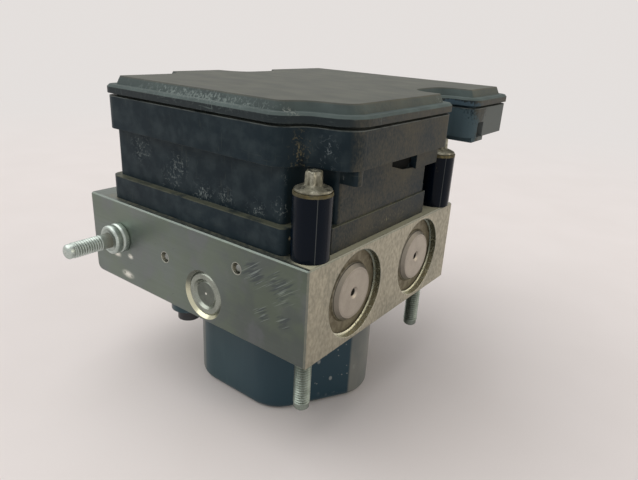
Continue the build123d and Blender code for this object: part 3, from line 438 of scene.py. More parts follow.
@dataclass(frozen=True)
class MouldedPlastic(Finish):
    """Fine-grained moulded plastic with dust on what faces up, pale worn edges and scuffs, dust with painted warm light
    on faces turned to +X, and painted highlight lines down its pillars.
    """

    colour: Colour
    roughness: float
    dust: Colour = (0.2, 0.19, 0.16)
    top_dust: float = 0.5
    top_slope: float = 0.55  # how far up a face is turned where the dust starts to lie
    end_from: float = 41.8  # where along X the dust and painted warm light on faces turned to +X start
    end_dust_and_warm_light: Colour = (0.2, 0.17, 0.11)
    end_dust_and_light: float = 0.0
    wear: float = 0.6
    scuffs: float = 0.3
    specular: float = 0.2
    front_film: Colour | None = None  # the cloudy film on faces turned to -Y
    ledge_film: Colour | None = None  # the dust below the upper level
    upper: float = 0.0
    patches: tuple[DirtAndShadingPatch, ...] = ()
    bands: tuple[Band, ...] = ()
    pillars: tuple[Gloss, ...] = ()

    def shader(self, graph: Graph) -> Signal:
        """Works out the plastic.

        Args:
            graph: The material's tree.

        Returns:
            The shader.
        """
        broad = graph.cloud(18.0, detail=3.0)
        grains = graph.cloud(0.7, (1, 1, 1.6), 5.0, 3.0)
        lying = graph.cloud(8.0, (1.6, 1, 1), 5.0).ramp(0.25, 0.75, 0.55, 1.0)
        film = graph.turned_to(Axis.Z, 1, self.top_slope, self.top_slope + 0.3) * lying * self.top_dust
        streaks = graph.scratches(0.5, (1, 1, 16), 0.66) | graph.scratches(0.45, (14, 14, 1), 0.67, 5.0)
        scuffed = streaks * graph.cloud(8.0, shift=2.0).ramp(0.48, 0.66) * self.scuffs
        worn = graph.edges(0.4) * graph.cloud(1.6, detail=3.0).ramp(0.35, 0.62) * self.wear
        pale = film | scuffed | worn
        dust: object = self.dust
        if self.ledge_film:
            dust = graph.mix(graph.z.ramp(self.upper - 0.5, self.upper), self.ledge_film, self.dust)
        mottle = (broad * 0.6 + grains * 0.4).ramp(0.3, 0.68)
        # dust with painted warm light on faces turned to +X
        outer = graph.x.ramp(self.end_from, self.end_from + 0.6)
        ends = graph.turned_to(Axis.X, 1, 0.7, 0.95) * mottle * outer * self.end_dust_and_light
        colour = graph.mix(broad, shade(self.colour, 0.75), shade(self.colour, 1.25))
        colour = graph.layered(colour, (pale, dust), (ends, self.end_dust_and_warm_light))
        if self.front_film:
            clouded = graph.cloud(5.0, detail=7.0, shift=6.0).ramp(0.35, 0.75, 0.0, 0.5)
            colour = graph.mix(clouded * graph.turned_to(Axis.Y, -1), colour, self.front_film)
        polish: Value = 0.0
        if self.pillars:
            polish = largest(pillar.mask(graph) for pillar in self.pillars) * (1.0 - graph.turned_to(Axis.Z, 1))
            # a thin painted highlight line down each pillar's side
            highlight_line = largest(pillar.line(graph) for pillar in self.pillars) * polish * 0.7
            colour = graph.layered(colour, (polish, (0.0018, 0.005, 0.011)), (highlight_line, (0.1, 0.11, 0.11)))
        dirt: Value = 0.0
        curls = graph.curls(2.2, 0.028) * graph.cloud(1.8, shift=4.0).ramp(0.44, 0.56)
        # the patches: dirt, with a painted highlight and painted shade among them
        for patch in self.patches:
            lies = patch.mask(graph, grains, curls)
            colour = graph.mix(lies, colour, patch.tint)
            dirt = lies | dirt
        for band in self.bands:
            line = graph.between(Axis.Z, band.low, band.high, 0.08) * band.amount
            line = line * graph.cloud(5.0, detail=5.0, shift=9.0).ramp(0.3, 0.55) - polish
            colour = graph.mix(line | 0.0, colour, band.tint)
        roughness = ((pale | dirt | ends) + broad * 0.4).ramp(0.0, 1.2, self.roughness, 0.85)
        if self.pillars:
            roughness = roughness - (polish - dirt | 0.0) * 0.28
        grain = graph.relief(graph.cloud(0.4), 0.02, graph.rounding(0.35))
        normal = graph.relief(scuffed | dirt, 0.05, grain)
        return graph.principled(
            Base_Color=colour, Roughness=roughness, Normal=normal, Specular_IOR_Level=self.specular
        )


@dataclass(frozen=True)
class MachinedAluminium(Finish):
    """A milled block: fine tool lines, mottled ends, bright edges, handling smudges and dirt by the unit's foot, with
    painted light and shade: ends lighter and warmer than the sides, long sides darker towards +X, painted glints, and
    painted highlights and shade in its bores and recesses.
    """

    side: Colour
    # lighter and warmer than the sides, as painted warm light on the ends
    end: Colour
    smudge: Colour
    roughness: float
    smudges: tuple[tuple[Triple, Triple], ...]  # the middle and the reach of each rubbed mark on the front face
    glints: tuple[tuple[Triple, Triple], ...]  # the same of each painted glint, a bright painted reflection
    seam: tuple[Triple, Triple]  # the corners of the strip by the unit's foot where dirt gathers
    plug_height: float  # of the pump bores' axis
    mouth: float  # the radius of the turned mouth of a pump bore
    cover_axis: tuple[float, float]  # the front accumulator's, along Y and Z, with a twin behind
    recess: float  # the radius of an accumulator's recess
    rims: tuple[Triple, ...]  # the X, Z and radius of each small bore with a painted highlight round its rim
    plug_edge: float = 7.0  # the radius where a bore's turned mouth starts
    mouth_from: float = 46.0  # how far from the middle along Y the mouths lie
    recess_from: float = 40.0  # how far towards +X the recesses lie
    sheen_falloff_along: tuple[float, float] = (-32.0, 46.0)  # where along X the long sides grow darker, as painted shade of their sheen
    dusty_along: tuple[float, float] = (34.0, 42.0)  # where along X the dirt turns to pale dust

    def tool_lines(self, graph: Graph, sides: Signal, ends: Signal) -> Signal:
        """Draws the cutter's lines along the sides, up the ends and across the rest.

        Args:
            graph: The material's tree.
            sides: A mask of the long sides.
            ends: A mask of the ends.

        Returns:
            The lines' pattern.
        """
        along = graph.cloud(0.9, (60, 1, 1))
        upright = graph.cloud(0.6, (1, 1, 2), 4.0, 4.0)
        crossing = graph.cloud(0.5, (1, 18, 4), 3.0, 9.0)
        return sides * along + ends * upright + (1.0 - (sides | ends)) * crossing

    def rubbed_marks(self, graph: Graph) -> tuple[Signal, Signal]:
        """Lays the dark rubbed marks on the front face, and the light scratches between them.

        Args:
            graph: The material's tree.

        Returns:
            The masks of both.
        """
        near = largest(graph.blob(*smudge) for smudge in self.smudges) * graph.turned_to(Axis.Y, -1)
        marks = graph.strokes(6.0, 0.8, 32.0, 7.0) + near * 0.36
        fine = graph.strokes(12.0, 0.35, 35.0, 2.0) + near * 0.2
        return marks.ramp(0.66, 0.9), fine.ramp(0.72, 0.8) * near.ramp(0.0, 0.1)

    def turned_mouth(self, graph: Graph) -> Coat:
        """Brightens the turned mouths of the pump bores, with a painted highlight towards the lower left and painted
        shade towards the top right.

        Args:
            graph: The material's tree.

        Returns:
            The mask and its colour.
        """
        off_axis = graph.radius_about(Axis.Y, 0.0, self.plug_height)
        within = off_axis.ramp(self.mouth + 0.1, self.mouth - 0.1)
        mouth = within * off_axis.ramp(self.plug_edge - 0.5, self.plug_edge + 0.5)
        lit_low_left = (graph.z + graph.x * 0.5).ramp(self.plug_height, self.plug_height - 7.0)
        mouth = mouth * abs(graph.y).ramp(self.mouth_from, self.mouth_from + 1.0)
        return mouth, graph.mix(lit_low_left, (0.15, 0.165, 0.14), (0.62, 0.62, 0.46))

    def bright_rim(self, graph: Graph, x: float, z: float, radius: float) -> Coat:
        """Paints a highlight round the rim of a small bore, by its place and its radius."""
        off = graph.radius_about(Axis.Y, x, z)
        return off.ramp(radius + 0.35, radius + 0.1) * off.ramp(1.6, 1.8) * 0.8, (0.5, 0.51, 0.45)

    def shader(self, graph: Graph) -> Signal:
        """Works out the aluminium.

        Args:
            graph: The material's tree.

        Returns:
            The shader.
        """
        sides = graph.turned_to(Axis.Y, -1) | graph.turned_to(Axis.Y, 1)
        ends = graph.turned_to(Axis.X, -1) | graph.turned_to(Axis.X, 1)
        level = graph.turned_to(Axis.Z, 1)
        lines = self.tool_lines(graph, sides, ends)
        mottle = graph.cloud(1.1, (1, 1, 1.6), 5.0).ramp(0.3, 0.7) * ends
        film = graph.cloud(16.0, (1.8, 1, 1), 3.0).ramp(0.3, 0.7)
        # painted shade: the long sides grow darker towards +X as their sheen falls off
        sheen_falloff = graph.x.ramp(*self.sheen_falloff_along, 0.0, 0.74)
        dull = film * 0.18 + mottle * 0.3 + (sheen_falloff * sides | level * 0.3)
        greenish = graph.cloud(11.0, detail=3.0, shift=5.0).ramp(0.42, 0.62) * sides * 0.22
        bluish = graph.cloud(9.0, detail=3.0, shift=12.0).ramp(0.5, 0.66) * sides * 0.25
        rubbed, scratched = self.rubbed_marks(graph)
        grime = graph.region(*self.seam, 1.2) * level * graph.cloud(1.1, detail=4.0).ramp(0.35, 0.6)
        toward_end = graph.x.ramp(*self.dusty_along)
        grime = grime | graph.region(*self.seam, 0.5) * toward_end
        edge = graph.edges(0.22)
        worn = edge * graph.cloud(4.5, detail=5.0, shift=3.0).ramp(0.4, 0.58)
        # painted glints: bright reflections painted on the front face
        glint = largest(graph.blob(*spot) for spot in self.glints)
        glint = glint * graph.cloud(1.2, (2, 1, 1), shift=2.0).ramp(0.3, 0.45)
        mouth, mouth_light_and_shade = self.turned_mouth(graph)
        cup = graph.radius_about(Axis.X, *self.cover_axis, mirrored=True).ramp(self.recess + 0.2, self.recess)
        cup = cup * graph.x.ramp(self.recess_from, self.recess_from + 1.0)
        caught = cup * graph.cloud(0.8, detail=5.0, shift=8.0).ramp(0.52, 0.66)
        colour = graph.layered(
            # the ends lighter and warmer than the sides as painted warm light
            graph.mix(ends, self.side, self.end),
            (dull, shade(self.side, 0.42)),
            (lines.ramp(0.35, 0.65) * (0.16 - sides * 0.1), shade(self.side, 0.4)),
            (greenish, (0.17, 0.22, 0.13)),
            (bluish, (0.2, 0.2, 0.235)),
            (rubbed * 0.7, self.smudge),
            (scratched * 0.4, shade(self.side, 1.9)),
            (grime * 0.85, graph.mix(toward_end, (0.14, 0.125, 0.07), (0.66, 0.64, 0.46))),
            (edge * 0.6, (0.13, 0.13, 0.08)),
            (worn * 0.7, (0.52, 0.52, 0.4)),
            # the painted glints
            (glint, (0.85, 0.86, 0.78)),
            # painted highlight and painted shade in the pump bores' mouths
            (mouth, mouth_light_and_shade),
            # painted highlights round the small bores' rims
            *(self.bright_rim(graph, *rim) for rim in self.rims),
            # the recess walls: darker at the top as painted shade, paler at the foot as painted light
            (cup, graph.mix(graph.z.ramp(58.0, 45.0), (0.21, 0.235, 0.2), (0.62, 0.62, 0.5))),
            (caught * 0.7, (0.2, 0.19, 0.11)),
        )
        metallic = 1.0 - (grime * 0.9 | rubbed * 0.5 | caught * 0.8)
        roughness = mottle * 0.12 + lines * 0.1 - (mouth | cup | glint) * 0.2 + self.roughness
        normal = graph.relief(mottle, 0.02, graph.relief(lines, 0.006, graph.rounding(0.25)))
        return graph.principled(Base_Color=colour, Metallic=metallic, Roughness=roughness, Normal=normal)


@dataclass(frozen=True)
class WorkedMetal(Finish):
    """Pressed, turned, plated or ground metal with fine lines, tarnish and rubbed edges, and painted shade in its
    grooves where groove_shade is set.
    """

    colour: Colour
    tarnish: Colour
    roughness: float
    grain: float = 0.4
    stretch: Triple = (1, 1, 1)
    stained: float = 0.4
    dirt: float = 0.0
    groove_shade: float = 0.0  # how much painted shade darkens its grooves
    rubbed: float = 0.6  # how bright its edges are

    def shader(self, graph: Graph) -> Signal:
        """Works out the metal.

        Args:
            graph: The material's tree.

        Returns:
            The shader.
        """
        fine = graph.cloud(self.grain, self.stretch, 3.0)
        stains = graph.cloud(3.5, detail=4.0, shift=2.0).ramp(0.35, 0.7)
        grime = graph.cloud(1.0, detail=5.0, shift=6.0).ramp(0.4, 0.62) * self.dirt
        # painted shade in the grooves, laid in the dirt's colour
        if self.groove_shade:
            grime = grime | graph.hollows() * self.groove_shade
        colour = graph.layered(
            self.colour,
            (stains * self.stained, self.tarnish),
            (fine.ramp(0.4, 0.7) * 0.2, shade(self.tarnish, 0.75)),
            (graph.edges(0.3) * self.rubbed, shade(self.colour, 1.35)),
            (grime, (0.09, 0.085, 0.055)),
        )
        roughness = stains * 0.16 + fine * 0.14 + (grime * 0.4 + self.roughness)
        normal = graph.relief(fine, 0.008, graph.rounding(0.2))
        return graph.principled(
            Base_Color=colour, Metallic=1.0 - grime * 0.85, Roughness=roughness, Normal=normal
        )


@dataclass(frozen=True)
class PressedCover(Finish):
    """A pressed steel cover: a satin disc with a painted highlight on its rim and painted shade on its rounded edge,
    and a dirty flange round its foot.
    """

    colour: Colour
    flange: Colour
    axis_place: tuple[float, float]  # the front cover's, along Y and Z, with a twin behind
    disc: float
    foot: float

    def shader(self, graph: Graph) -> Signal:
        """Works out the cover's steel.

        Args:
            graph: The material's tree.

        Returns:
            The shader.
        """
        out = graph.radius_about(Axis.X, *self.axis_place, mirrored=True)
        grain = graph.cloud(0.5, detail=4.0)
        stains = graph.cloud(5.0, detail=4.0, shift=2.0).ramp(0.35, 0.7)
        turned = out.ramp(self.disc - 1.0, self.disc - 0.6) * out.ramp(self.disc, self.disc - 0.3)
        raised = out.ramp(self.disc - 0.3, self.disc) * out.ramp(self.foot - 0.4, self.foot - 0.6)
        # a painted highlight along the rim
        rim = raised * graph.turned_to(Axis.X, 1, 0.72, 0.86) * (1.0 - graph.turned_to(Axis.X, 1, 0.95, 0.99))
        low = out.ramp(self.foot - 0.6, self.foot - 0.3)
        caught = graph.cloud(2.2, detail=4.0, shift=6.0).ramp(0.42, 0.62) * low * 0.75
        vent = out.ramp(1.5, 1.2)
        colour = graph.layered(
            self.colour,
            (stains * 0.4, shade(self.colour, 0.72)),
            (grain.ramp(0.4, 0.7) * 0.15, shade(self.colour, 0.6)),
            (turned * 0.35, shade(self.colour, 0.6)),
            # painted shade on the disc's rounded edge
            (raised * (1.0 - graph.turned_to(Axis.X, 1, 0.6, 0.82)), (0.085, 0.083, 0.066)),
            (rim, (0.68, 0.67, 0.56)),
            (low, self.flange),
            (caught, (0.11, 0.095, 0.06)),
            (vent, (0.02, 0.02, 0.015)),
        )
        roughness = grain * 0.14 - rim * 0.2 + (caught * 0.4 + 0.36)
        metallic = 1.0 - (caught * 0.85 | vent)
        normal = graph.relief(grain, 0.012, graph.rounding(0.3))
        return graph.principled(Base_Color=colour, Metallic=metallic, Roughness=roughness, Normal=normal)


@dataclass(frozen=True)
class PressedPlug(Finish):
    """A dished steel plug: a polished dish round a dull middle disc with a bright centre mark."""

    dish: Colour
    disc: Colour
    height: float
    middle: float

    def shader(self, graph: Graph) -> Signal:
        """Works out the plug's steel.

        Args:
            graph: The material's tree.

        Returns:
            The shader.
        """
        out = graph.radius_about(Axis.Y, 0.0, self.height)
        stains = graph.cloud(2.6, detail=4.0, shift=2.0).ramp(0.35, 0.7)
        inner = out.ramp(self.middle + 0.15, self.middle - 0.15)
        colour = graph.layered(
            self.dish,
            (stains * 0.45, shade(self.dish, 0.6)),
            (inner, graph.mix(stains * 0.5, self.disc, shade(self.disc, 0.65))),
            (out.ramp(0.55, 0.3), (0.8, 0.8, 0.74)),
        )
        roughness = graph.cloud(0.35, detail=3.0) * 0.12 + inner * 0.16 + stains * 0.08 + 0.2
        normal = graph.relief(out.wave(0.7).ramp(-1.0, 1.0), 0.006, graph.rounding(0.25))
        return graph.principled(Base_Color=colour, Metallic=1.0, Roughness=roughness, Normal=normal)


@dataclass(frozen=True)
class DippedPaint(Finish):
    """Glossy paint on sheet steel, with faint orange peel, dried drips, pale specks and rubbed corners, lighter towards
    the bottom and on two corners as painted light, and darker towards +X as painted shade.
    """

    colour: Colour
    # the haze's paler tone, also laid towards the bottom as painted light
    haze_and_light: Colour
    roughness: float
    splashes: tuple[Triple, Triple]  # the middle and the reach of the patch that carries drips
    deep: Colour | None = None  # painted shade on the front face's end towards +X and on faces turned to +X
    corners: Colour | None = None  # painted light on the corners towards -X, -Y and +X, +Y
    lit_corner_from: tuple[float, float] = (25.2, 26.4)  # how far out towards +X, +Y that tone starts and is full

    def shader(self, graph: Graph) -> Signal:
        """Works out the paint.

        Args:
            graph: The material's tree.

        Returns:
            The shader.
        """
        cloudy = graph.cloud(14.0, (1, 1, 2.2), 3.0).ramp(0.3, 0.7)
        runs = graph.cloud(2.2, (1, 1, 9), 3.0, 5.0).ramp(0.45, 0.75)
        splashed = graph.blob(*self.splashes).ramp(0.0, 0.4)
        drips, specks = graph.specks(4.2, 0.24, 2.0, (1, 1, 1.4)), graph.specks(2.4, 0.14, 5.0)
        spots = (splashed * drips | splashed * specks) * 0.7
        worn = graph.edges(0.8) * graph.cloud(1.4, detail=3.0).ramp(0.45, 0.7) * 0.35
        # haze, with painted light growing towards the bottom
        haze_and_light = cloudy * 0.3 + runs * 0.15 + graph.z.ramp(0.0, 34.0, 0.3, 0.0)
        colour = graph.mix(haze_and_light, self.colour, self.haze_and_light)
        if self.deep:
            # painted shade towards +X on the front face and on faces turned to +X
            right_shade_mask = graph.turned_to(Axis.Y, -1, 0.3, 0.6) * (graph.x.ramp(-14.0, 24.0) * 0.85)
            colour = graph.mix(right_shade_mask | graph.turned_to(Axis.X, 1, 0.6, 0.9), colour, self.deep)
        if self.corners:
            # painted light on the corners that face along the highlight direction
            level = abs(across(*graph.facings[:2]))
            lit_strips = level.ramp(0.82, 0.86) | across(graph.x, graph.y).ramp(*self.lit_corner_from)
            colour = graph.mix(lit_strips * cloudy.ramp(0.0, 1.0, 0.55, 0.85), colour, self.corners)
        colour = graph.mix(spots | worn, colour, (0.3, 0.32, 0.31))
        peel = graph.relief(graph.cloud(1.4, detail=1.0), 0.008, graph.rounding(0.6))
        return graph.principled(
            Base_Color=colour,
            Roughness=haze_and_light * 0.15 + self.roughness + spots * 0.4,
            Normal=graph.relief(spots, 0.03, peel),
            Specular_IOR_Level=0.3,
            Coat_Weight=0.12,
            Coat_Roughness=0.25,
        )


@dataclass(frozen=True)
class DullSolid(Finish):
    """Rubber, ferrite, carbon and other matt bodies: a mottled grain with pits and handled edges."""

    colour: Colour
    roughness: float
    grain: float
    pits: float
    specular: float = 0.35

    def shader(self, graph: Graph) -> Signal:
        """Works out the matt body.

        Args:
            graph: The material's tree.

        Returns:
            The shader.
        """
        grain = graph.cloud(self.grain, detail=4.0)
        colour = graph.mix(grain, shade(self.colour, 0.65), shade(self.colour, 1.45))
        colour = graph.mix(graph.edges(0.3) * 0.3, colour, shade(self.colour, 2.4))
        roughness = graph.cloud(6.0, shift=4.0).ramp(0.2, 0.8, self.roughness - 0.08, self.roughness + 0.08)
        normal = graph.relief(grain, self.pits, graph.rounding(0.2))
        return graph.principled(
            Base_Color=colour, Roughness=roughness, Normal=normal, Specular_IOR_Level=self.specular
        )


@dataclass(frozen=True)
class WoundWire(Finish):
    """Enamelled wire in tight turns."""

    colour: Colour
    wire: float

    def shader(self, graph: Graph) -> Signal:
        """Works out the winding.

        Args:
            graph: The material's tree.

        Returns:
            The shader.
        """
        turns = (graph.z + graph.cloud(5.0) * self.wire).wave(self.wire).ramp(-1.0, 1.0)
        browned = graph.cloud(2.0, detail=3.0).ramp(0.5, 0.7) * 0.4
        base = graph.mix(turns, shade(self.colour, 0.45), self.colour)
        return graph.principled(
            Base_Color=graph.mix(browned, base, (0.3, 0.1, 0.04)),
            Metallic=0.75,
            Roughness=graph.cloud(1.5).ramp(0.2, 0.8, 0.28, 0.5),
            Normal=graph.relief(turns, self.wire * 0.4),
            Coat_Weight=0.5,
            Coat_Roughness=0.2,
        )


@dataclass(frozen=True)
class SolderMask(Finish):
    """A circuit board's lacquer over copper tracks, with tinned holes."""

    mask: Colour
    track: Colour
    pitch: float

    def shader(self, graph: Graph) -> Signal:
        """Works out the board.

        Args:
            graph: The material's tree.

        Returns:
            The shader.
        """
        skewed = (graph.x + graph.y) * 0.7 + graph.cloud(9.0, detail=0.0).ramp(0.42, 0.58) * 9.0
        tracks = skewed.wave(self.pitch).ramp(0.1, 0.4) * graph.cloud(7.0, shift=3.0).ramp(0.4, 0.5)
        holes = graph.specks(2.6, 0.2)
        colour = graph.layered(self.mask, (tracks, self.track), (holes, (0.6, 0.58, 0.5)))
        roughness = graph.cloud(4.0, detail=3.0).ramp(0.2, 0.8, 0.3, 0.45)
        normal = graph.relief(tracks, 0.04)
        return graph.principled(Base_Color=colour, Metallic=holes * 0.9, Roughness=roughness, Normal=normal)


@dataclass(frozen=True)
class StudioPaper(Finish):
    """The pale sheet under the module, with faint mottling, which melts into the background far away."""

    colour: Colour
    mottling: Colour
    distance: Colour
    near: float = 260.0
    far: float = 900.0

    def shader(self, graph: Graph) -> Signal:
        """Works out the paper.

        Args:
            graph: The material's tree.

        Returns:
            The shader.
        """
        fibres = graph.cloud(0.9, detail=3.0)
        share = graph.cloud(60.0).ramp(0.3, 0.7) * 0.4 + fibres * 0.3
        colour = graph.mix(share, self.colour, self.mottling)
        sheet = graph.principled(
            Base_Color=colour, Roughness=0.9, Specular_IOR_Level=0.2, Normal=graph.relief(fibres, 0.02)
        )
        away = graph.radius_about(Axis.Z, 0.0, 0.0).ramp(self.near, self.far)
        glow = graph.out("ShaderNodeEmission", {"Color": self.distance, "Strength": 1.0})
        return graph.out("ShaderNodeMixShader", {0: graph.looked_at() * away, 1: sheet, 2: glow})


@dataclass(frozen=True)
class Ring:
    """One ring of a turned mesh."""

    height: float
    radius: float
    lobes: float = 0.0  # how deep the six hollows between its lobes are, as a share of the radius

    def radius_at(self, angle: float) -> float:
        """Gives the radius in one direction, with rounded lobes."""
        return self.radius * (1 - self.lobes * (0.5 - 0.5 * math.cos(6 * angle)) ** 0.8)


@dataclass(frozen=True)
class Thread:
    """A rolled thread on a turned mesh."""

    start: float
    end: float
    crest: float
    depth: float
    pitch: float
    run_out: float = 0.8  # the length over which it fades at its ends

    def radius_at(self, height: float, angle: float) -> float:
        """Gives the radius at one point of the thread.

        Args:
            height: The place along the axis.
            angle: The direction round it.

        Returns:
            The radius.
        """
        turn = (height / self.pitch - angle / FULL_TURN) % 1.0
        groove = min(1.0, max(0.0, 1.35 * abs(2 * turn - 1) - 0.2))
        fade = min(1.0, (height - self.start) / self.run_out, (self.end - height) / self.run_out)
        return self.crest - self.depth * groove * max(0.0, fade)


class TurnedMesh:
    """A closed mesh of rings that follow one another."""

    def __init__(self, segments: int, flipped: bool = False) -> None:
        """Starts an empty mesh.

        Args:
            segments: The number of points in a ring.
            flipped: Whether the rings run the other way round.
        """
        self.segments, self.flipped = segments, flipped
        self.points: list[Triple] = []
        self.faces: list[tuple[int, ...]] = []

    def add_face(self, *corners: int) -> None:
        """Adds a face that looks outwards."""
        self.faces.append(corners[::-1] if self.flipped else corners)

    def add_loop(self, points: Iterable[Triple]) -> None:
        """Adds a ring of points and joins it to the last one.

        Args:
            points: The ring's points.
        """
        first, before = len(self.points), len(self.points) - self.segments
        self.points.extend(points)
        for step in range(self.segments if first else 0):
            after = (step + 1) % self.segments
            self.add_face(before + step, before + after, first + after, first + step)

    def add_ring(self, height: float, radius: Callable[[float], float]) -> None:
        """Adds a ring about the axis, with its radius by direction."""
        angles = [FULL_TURN * step / self.segments for step in range(self.segments)]
        self.add_loop([(radius(angle) * math.cos(angle), radius(angle) * math.sin(angle), height) for angle in angles])

    def add_profile(self, base: float, *rows: tuple[float, ...]) -> None:
        """Adds rings, each with its height above the base, its radius and the depth of its lobes if it has them."""
        for height, *sizes in rows:
            self.add_ring(base + height, Ring(base + height, *sizes).radius_at)

    def add_thread(self, thread: Thread, rings_per_turn: int = 10) -> None:
        """Adds a thread's rings.

        Args:
            thread: The thread.
            rings_per_turn: The number of rings in one pitch.
        """
        count = round((thread.end - thread.start) / thread.pitch * rings_per_turn)
        for index in range(count + 1):
            height = thread.start + (thread.end - thread.start) * index / count
            self.add_ring(height, lambda angle, place=height: thread.radius_at(place, angle))

    def close(self) -> "TurnedMesh":
        """Caps the first and the last ring.

        Returns:
            The mesh.
        """
        last = len(self.points) - self.segments
        self.add_face(*reversed(range(self.segments)))
        self.add_face(*range(last, last + self.segments))
        return self

    def placed(self, origin: Triple, direction: Triple) -> Mesh:
        """Gives the points in metres and the faces, with the axis laid from an origin along a direction."""
        turn = Vector((0, 0, 1)).rotation_difference(Vector(direction)).to_matrix()
        return [(turn @ Vector(p) + Vector(origin)) * MILLIMETRE for p in self.points], self.faces


def new_object(name: str, data: ID) -> Object:
    """Adds an object to the scene.

    Args:
        name: Its name.
        data: Its mesh, lamp or camera.

    Returns:
        The object.
    """
    added = bpy.data.objects.new(name, data)
    bpy.context.scene.collection.objects.link(added)
    return added


def piece_from(name: str, meshes: Sequence[Mesh], smooth_angle: float = 35.0) -> Object:
    """Joins several meshes into one piece of the scene.

    Args:
        name: The piece's name.
        meshes: The points and faces of each mesh.
        smooth_angle: The bend in degrees under which faces shade smoothly.

    Returns:
        The new object.
    """
    points: list[Vector] = []
    faces: list[tuple[int, ...]] = []
    for mesh_points, mesh_faces in meshes:
        faces.extend(tuple(index + len(points) for index in face) for face in mesh_faces)
        points.extend(mesh_points)
    mesh = bpy.data.meshes.new(name)
    mesh.from_pydata(points, [], faces)
    mesh.validate()
    mesh.shade_smooth()
    mesh.set_sharp_from_angle(angle=math.radians(smooth_angle))
    return new_object(name, mesh)


class Frame:
    """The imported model's nodes, and the calls that dress them."""

    def __init__(self, nodes: dict[str, Object]) -> None:
        """Keeps the CAD nodes by name."""
        self.nodes = nodes
        self.dressed: set[str] = set()

    def dress(self, finish: Finish, *names: str) -> None:
        """Gives CAD nodes their finish.

        Args:
            finish: The finish.
            names: The nodes.
        """
        material = finish.build()
        for name in names:
            slots = self.nodes[name].data.materials
            slots.clear()
            slots.append(material)
            LOG.info("dressed %s in %s", name, material.name)
        self.dressed.update(names)

    def adopt(self, piece: Object, material: Material, slot: Slot, *replaced: str) -> None:
        """Sets a piece in the place of CAD nodes.

        Args:
            piece: The piece.
            material: Its finish.
            slot: The record's slot of that finish; not used.
            replaced: The nodes that it stands for.
        """
        piece.data.materials.append(material)
        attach(piece, Body.MODULE.value)
        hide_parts(*replaced)
        self.dressed.update(replaced)
        LOG.info("built %s for %s, %d faces", piece.name, ", ".join(replaced), len(piece.data.polygons))

    def bare(self) -> list[str]:
        """Lists the nodes that no finish has reached."""
        return sorted(set(self.nodes) - self.dressed)


@dataclass(frozen=True)
class CoilSpring:
    """Two springs of round wire with closed end turns, front and rear, wound at rest."""

    kind: str
    fixed: Triple  # the middle of the rear spring's fixed end
    moving: Triple  # the middle of its moving end at rest
    radius: float  # to the middle of the wire
    wire: float
    turns: int
    stroke: float
    clearance: float = 0.02

    def height_at(self, turn: float, rise: float) -> float:
        """Gives the height of the wire's middle above its first point.

        Args:
            turn: How many turns along the wire.
            rise: The height of its last point.

        Returns:
            The height.
        """
        closed = self.wire * 1.02
        if turn <= 1:
            return closed * turn
        if turn >= self.turns - 1:
            return rise - closed * (self.turns - turn)
        return closed + (rise - 2 * closed) * (turn - 1) / (self.turns - 2)

    def wound(self, length: float, steps: int = 36, corners: int = 10) -> TurnedMesh:
        """Winds the wire up from the fixed end.

        Args:
            length: The spring's length.
            steps: The number of sections in a turn.
            corners: The number of points round the wire.

        Returns:
            The spring along +Z.
        """
        mesh, half = TurnedMesh(corners, flipped=True), self.wire / 2
        leans = [FULL_TURN * corner / corners for corner in range(corners)]
        for step in range(self.turns * steps + 1):
            angle = FULL_TURN * step / steps
            middle = self.height_at(step / steps, length - self.wire - 2 * self.clearance) + half + self.clearance
            reaches = [self.radius + half * math.cos(lean) for lean in leans]
            across_wire = [(reach * math.cos(angle), reach * math.sin(angle)) for reach in reaches]
            mesh.add_loop([(*place, middle + half * math.sin(lean)) for place, lean in zip(across_wire, leans)])
        return mesh.close()

    def build(self, frame: Frame, finish: Finish) -> None:
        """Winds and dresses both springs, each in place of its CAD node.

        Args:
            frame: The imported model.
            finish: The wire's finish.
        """
        material = finish.build()
        for name, side in (("front", -1), ("rear", 1)):
            fixed, moving = (Vector((x, side * y, z)) for x, y, z in (self.fixed, self.moving))
            length, direction = (moving - fixed).length, tuple((moving - fixed).normalized())
            node = f"{self.kind}_spring_{name}"
            piece = piece_from(f"{node}_coil", [self.wound(length).placed(fixed, direction)], 60.0)
            frame.adopt(piece, material, Slot.SPRING, node)
            anchor, keep = tuple(fixed * MILLIMETRE), 1 - self.stroke / length
            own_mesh(piece)


